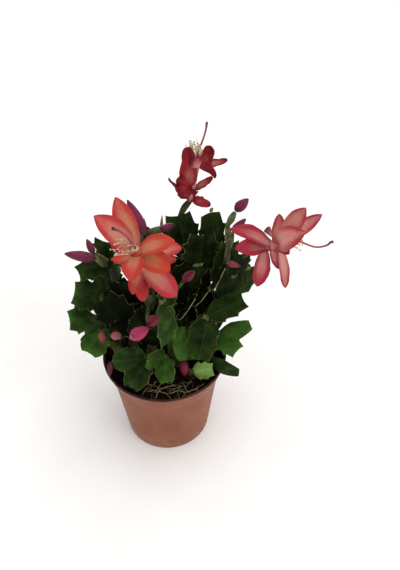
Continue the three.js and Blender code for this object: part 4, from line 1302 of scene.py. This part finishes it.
def bud_skin(name, foot, body, tip, gloss=0.2):
    """Glossy bud, its colour running from foot to tip in long streaks."""
    m = Finish(name, Specular_IOR_Level=gloss, Subsurface_Weight=0.1,
               Subsurface_Radius=(0.003, 0.001, 0.001), Subsurface_Scale=0.5)
    along, around, _ = m.own("place")
    scale = m.own("tint")[0]
    streaks = m.grain(2.2, 4)
    reach = m.stir(along, streaks, 0.3)
    tone = m.mix(m.ramp(reach, 0.02, 0.3), foot, body)
    tone = m.mix(m.ramp(reach, 0.68, 1.0), tone, tip)
    edge = m.ramp(m.calc("FRACT", m.calc("MULTIPLY_ADD", around, 3, m.times(along, 0.9))), 0.86, 1)
    tone = m.mix(m.times(edge, 0.3), tone, tip)
    m.colour(m.mix(m.times(scale, 0.5), tone, foot))
    m.dull(1.5, 0.3, 0.48)
    m.relief(m.plus(streaks, m.grain(0.6, 2)), 0.16)
    return m.material


def stamen_thread():
    """Pale waxy threads and their ring."""
    m = Finish("stamen_thread", Specular_IOR_Level=0.4, Subsurface_Weight=0.2, Subsurface_Scale=0.3,
               Subsurface_Radius=(0.002, 0.0015, 0.001))
    along = m.own("place")[0]
    m.colour(m.mix(m.ramp(m.plus(along, m.grain(1.2)), 0.3, 1.6), "b9776a", "d2c09c"))
    m.dull(0.8, 0.4, 0.6)
    m.relief(m.grain(0.3), 0.05)
    return m.material


def pollen():
    """Powdery cream pollen heads."""
    m = Finish("pollen", Specular_IOR_Level=0.15)
    m.colour(m.flecks("a8986a", "cfc7a2", 0.4))
    m.dull(0.5, 0.85, 0.95)
    m.relief(m.grain(0.2, 2), 0.15)
    return m.material


def style_skin():
    """Crimson style with a darker head."""
    m = Finish("crimson_style", Specular_IOR_Level=0.5)
    along = m.own("place")[0]
    head = m.own("tint")[0]
    reach = m.plus(along, m.times(m.grain(1.2), 0.3))
    tone = m.mix(m.ramp(reach, 0.5, 1.15), "9c3c4a", "541c2c")
    tone = m.mix(m.times(head, 0.8), tone, "3c0f20")
    m.colour(m.flecks(tone, "83384a", 0.7, 4, 0.45, 0.75, 0.3))
    m.dull(0.6, 0.32, 0.5)
    m.relief(m.grain(0.35), 0.07)
    return m.material


def pot_plastic():
    """Moulded terracotta-coloured plastic: satin, dulled by water marks, its inside and lip painted dark as
    shade.
    """
    m = Finish("pot_plastic", Specular_IOR_Level=0.12)
    z = m.height()
    # A painted shadow line along the top of the lip and painted shade over the inside, in dark brown.
    lip = m.ramp(m.stir(z, m.grain(4), 0.0012), 0.0889, 0.0897)
    inside = m.calc("MAXIMUM", m.own("tint")[0], lip)
    cloud = m.grain(26, 4)
    body = m.mix(m.ramp(cloud, 0.3, 0.7), "8a523b", "814933")
    flow = m.grain(5, 4, stretch=(1, 1, 0.16))
    body = m.mix(m.ramp(flow, 0.5, 0.8, 0, 0.25), body, "956350")
    dust = m.times(m.ramp(z, 0.0, 0.03, 0.55, 0.0), m.ramp(m.grain(6, 5), 0.35, 0.7))
    body = m.mix(dust, body, "9f7a67")
    body = m.flecks(body, "b2968a", 1.3, 2, 0.73, 0.78, 0.5)
    m.colour(m.mix(inside, body, m.flecks("22120d", "4a291d", 4, 5)))
    m.roughness(m.ramp(m.plus(cloud, m.grain(2)), 0.7, 1.3, 0.4, 0.56))
    rings = m.calc("SINE", m.times(z, 5200))
    m.relief(m.calc("MULTIPLY_ADD", rings, 0.05, m.grain(0.9)), 0.06)
    return m.material


def peat():
    """Dark damp peat."""
    m = Finish("peat", Specular_IOR_Level=0.08)
    tone = m.mix(m.ramp(m.grain(2.2, 6, 0.7), 0.35, 0.65), "080604", "18120d")
    m.colour(m.flecks(tone, "40321f", 0.8, 3, 0.72, 0.78))
    m.dull(3, 0.75, 0.95)
    m.relief(m.grain(1.1, 6, 0.7), 1.1)
    return m.material


def crumb():
    """Loose crumbs of peat and bark."""
    m = Finish("peat_crumb", Specular_IOR_Level=0.08)
    pale, bark, chance = m.own("tint")
    tone = m.mix(m.ramp(m.times(pale, pale), 0.3, 1.3), "0c0906", "3a2c20")
    tone = m.mix(bark, tone, "3c291a")
    m.colour(m.flecks(tone, "0c0806", 0.7, 4, 0.5, 0.75, 0.5))
    m.roughness(m.ramp(chance, 0, 1, 0.7, 0.95))
    m.relief(m.grain(0.5, 4), 0.4)
    return m.material


def fibre_skin():
    """Dry tan roots, some of them greenish."""
    m = Finish("dry_root", Specular_IOR_Level=0.25)
    fair, _, chance = m.own("tint")
    tone = m.mix(m.ramp(fair, 0.2, 1), "84704a", "d2c49e")
    tone = m.mix(m.ramp(chance, 0.7, 1, 0, 0.4), tone, "86875a")
    m.colour(m.flecks(tone, "5a4730", 1.1, 4, 0.5, 0.75, 0.5))
    m.dull(0.8, 0.65, 0.9)
    m.relief(m.grain(0.5), 0.15)
    return m.material


leaf_finish = leaf_skin("old_leaf", 0.03, 0.5)
young_finish = leaf_skin("young_leaf", 0.05, 0.4)
felt_finish = felt()
thread_finish = stamen_thread()
pollen_finish = pollen()
style_finish = style_skin()
pot_finish = pot_plastic()
soil_finish = peat()
crumb_finish = crumb()
fibre_finish = fibre_skin()
bud_finish = {
    "purple": bud_skin("purple_bud", "4c3432", "6e2040", "561a32"),
    "crimson": bud_skin("crimson_bud", "641826", "640a26", "4c081c", 0.22),
    "magenta": bud_skin("magenta_bud", "963c58", "9e2450", "84143c", 0.25),
    "dull": bud_skin("dull_bud", "6a4a38", "823a3a", "6c242c"),
    "brown": bud_skin("brown_bud", "5a5a36", "7d6a4a", "6a4a38"),
    # A darker crimson, painted as shade, for the bud under the rim.
    "painted_shade": bud_skin("painted_shade_bud", "30141a", "4e1624", "3c0e1c"),
}

# Each bloom's slot and silk, how deep and how warm its tube and each petal are, how crumpled it is,
# its stamens past the solid ones with how far they spread, how its style bends, and the short
# wilted petals that hug the foot of its tube.
BLOOM_LOOKS = {
    "bloom_left": SimpleNamespace(
        slot="petal_coral",
        silk=petal_silk("coral_petal", ("c08478", "c48c68"), ("a42a3c", "b03a28"), 0.7, -0.2, 0),
        tube_tint=(0.5, 0.6), crumple=0.4, more_threads=8, spread=4.5, bend=vec(1.2, 0, 1.2), wilted=[],
        petal_tints=[
            (0.4, 0.4), (0.4, 0.7), (0.62, 0.95), (0.4, 0.3), (0.74, 1.0), (0.5, 0.3), (0.5, 0.15),
            (0.62, 0.3), (0.7, 0.8), (1.1, 0.4), (0.6, 0.5), (0.6, 0.7), (0.5, 0.5), (0.5, 0.4)]),
    "bloom_right": SimpleNamespace(
        slot="petal_rose",
        silk=petal_silk("rose_petal", ("c88884", "ca8a7a"), ("922438", "9a2c34"), 0.62, -0.25, 0.15),
        tube_tint=(0.6, 0.4), crumple=0.65, more_threads=14, spread=4, bend=vec(0, 0, -5), wilted=[],
        petal_tints=[
            (0.85, 0.3), (1.1, 0.4), (0.75, 0.2), (0.4, 0.6), (0.0, 0.6), (0.25, 0.3), (0.1, 0.6),
            (0.1, 0.5), (0.3, 0.3), (0.6, 0.3), (0.4, 0.3), (0.8, 0.4)]),
    "bloom_top": SimpleNamespace(
        slot="petal_withered",
        silk=petal_silk("withered_petal", ("cc8c88", "b4706a"), ("7c1824", "8e242a"), 0.72, 0.6, 0.65),
        tube_tint=(-0.1, 0.2), crumple=1.6, more_threads=52, spread=3.6, bend=vec(0.8, 0, -0.2),
        wilted=[[0.03, 17, 36, 229, 8, 0.2, 20], [0.02, 22, 34, 231, 8, 0.2, 0],
                [0.04, 27, 36, 228, 7, 0.2, -20]],
        petal_tints=[
            (0.95, 0.5), (1.2, 0.7), (0.9, 0.4), (0.6, 0.4), (1.1, 0.3), (1.3, 0.3), (0.5, 0.3),
            (0.3, 0.2), (1.0, 0.6), (1.0, 0.4), (1.1, 0.4)]),
}

# The camera, the floor and the lights

LENS = 37.9
SENSOR_W = 36
CAMERA_AT = (0.030, -0.3385, 0.4782)
CAMERA_TILT = 47.4
FLOOR_HALF = 6


def camera():
    """Looks down on the plant from the front, as the photograph does."""
    lens = bpy.data.cameras.new("camera")
    lens.lens = LENS
    lens.sensor_width = SENSOR_W
    eye = put("camera", lens)
    eye.location = CAMERA_AT
    eye.rotation_euler = (radians(CAMERA_TILT), 0, 0)
    bpy.context.scene.camera = eye


def floor():
    """A wide pale sheet that the pot stands on."""
    m = Finish("pale_floor", Specular_IOR_Level=0.1)
    m.colour(m.flecks("f5f4f2", "f8f7f5", 60, 3, 0.3, 0.7))
    m.dull(30, 0.85, 0.95)
    bm = bmesh.new()
    bmesh.ops.create_grid(bm, x_segments=1, y_segments=1, size=FLOOR_HALF)
    mesh = mesh_from("floor", bm)
    mesh.materials.append(m.material)
    put("floor", mesh)


def lamp(name, place, aim, size, power, colour):
    """A large soft square light that faces what it aims at."""
    light = bpy.data.lights.new(name, "AREA")
    light.size = size
    light.energy = power
    light.color = colour
    holder = put(name, light)
    holder.location = place
    holder.rotation_euler = (Vector(aim) - Vector(place)).to_track_quat("-Z", "Y").to_euler()


def sky():
    """Even pale light from all round."""
    world = bpy.data.worlds.new("studio")
    bpy.context.scene.world = world
    world.use_nodes = True
    back = world.node_tree.nodes["Background"]
    back.inputs["Color"].default_value = (0.985, 0.99, 1, 1)
    back.inputs["Strength"].default_value = 0.9


bpy.context.scene.view_settings.view_transform = "Standard"
camera()
floor()
sky()
lamp("overhead", (0.5, 0.3, 3.0), (0, 0, 0.1), 1.8, 22, (1, 0.985, 0.96))
lamp("front", (1.9, -1.5, 1.7), (0, 0, 0.12), 1.6, 17, (1, 0.99, 0.98))

pot()
soil()
fibres()
for name, stem in stems.items():
    leafy_stem(name, stem)
for name, bud in buds.items():
    bud_piece(name, bud)
for name, bloom in blooms.items():
    bloom_pieces(name, bloom)
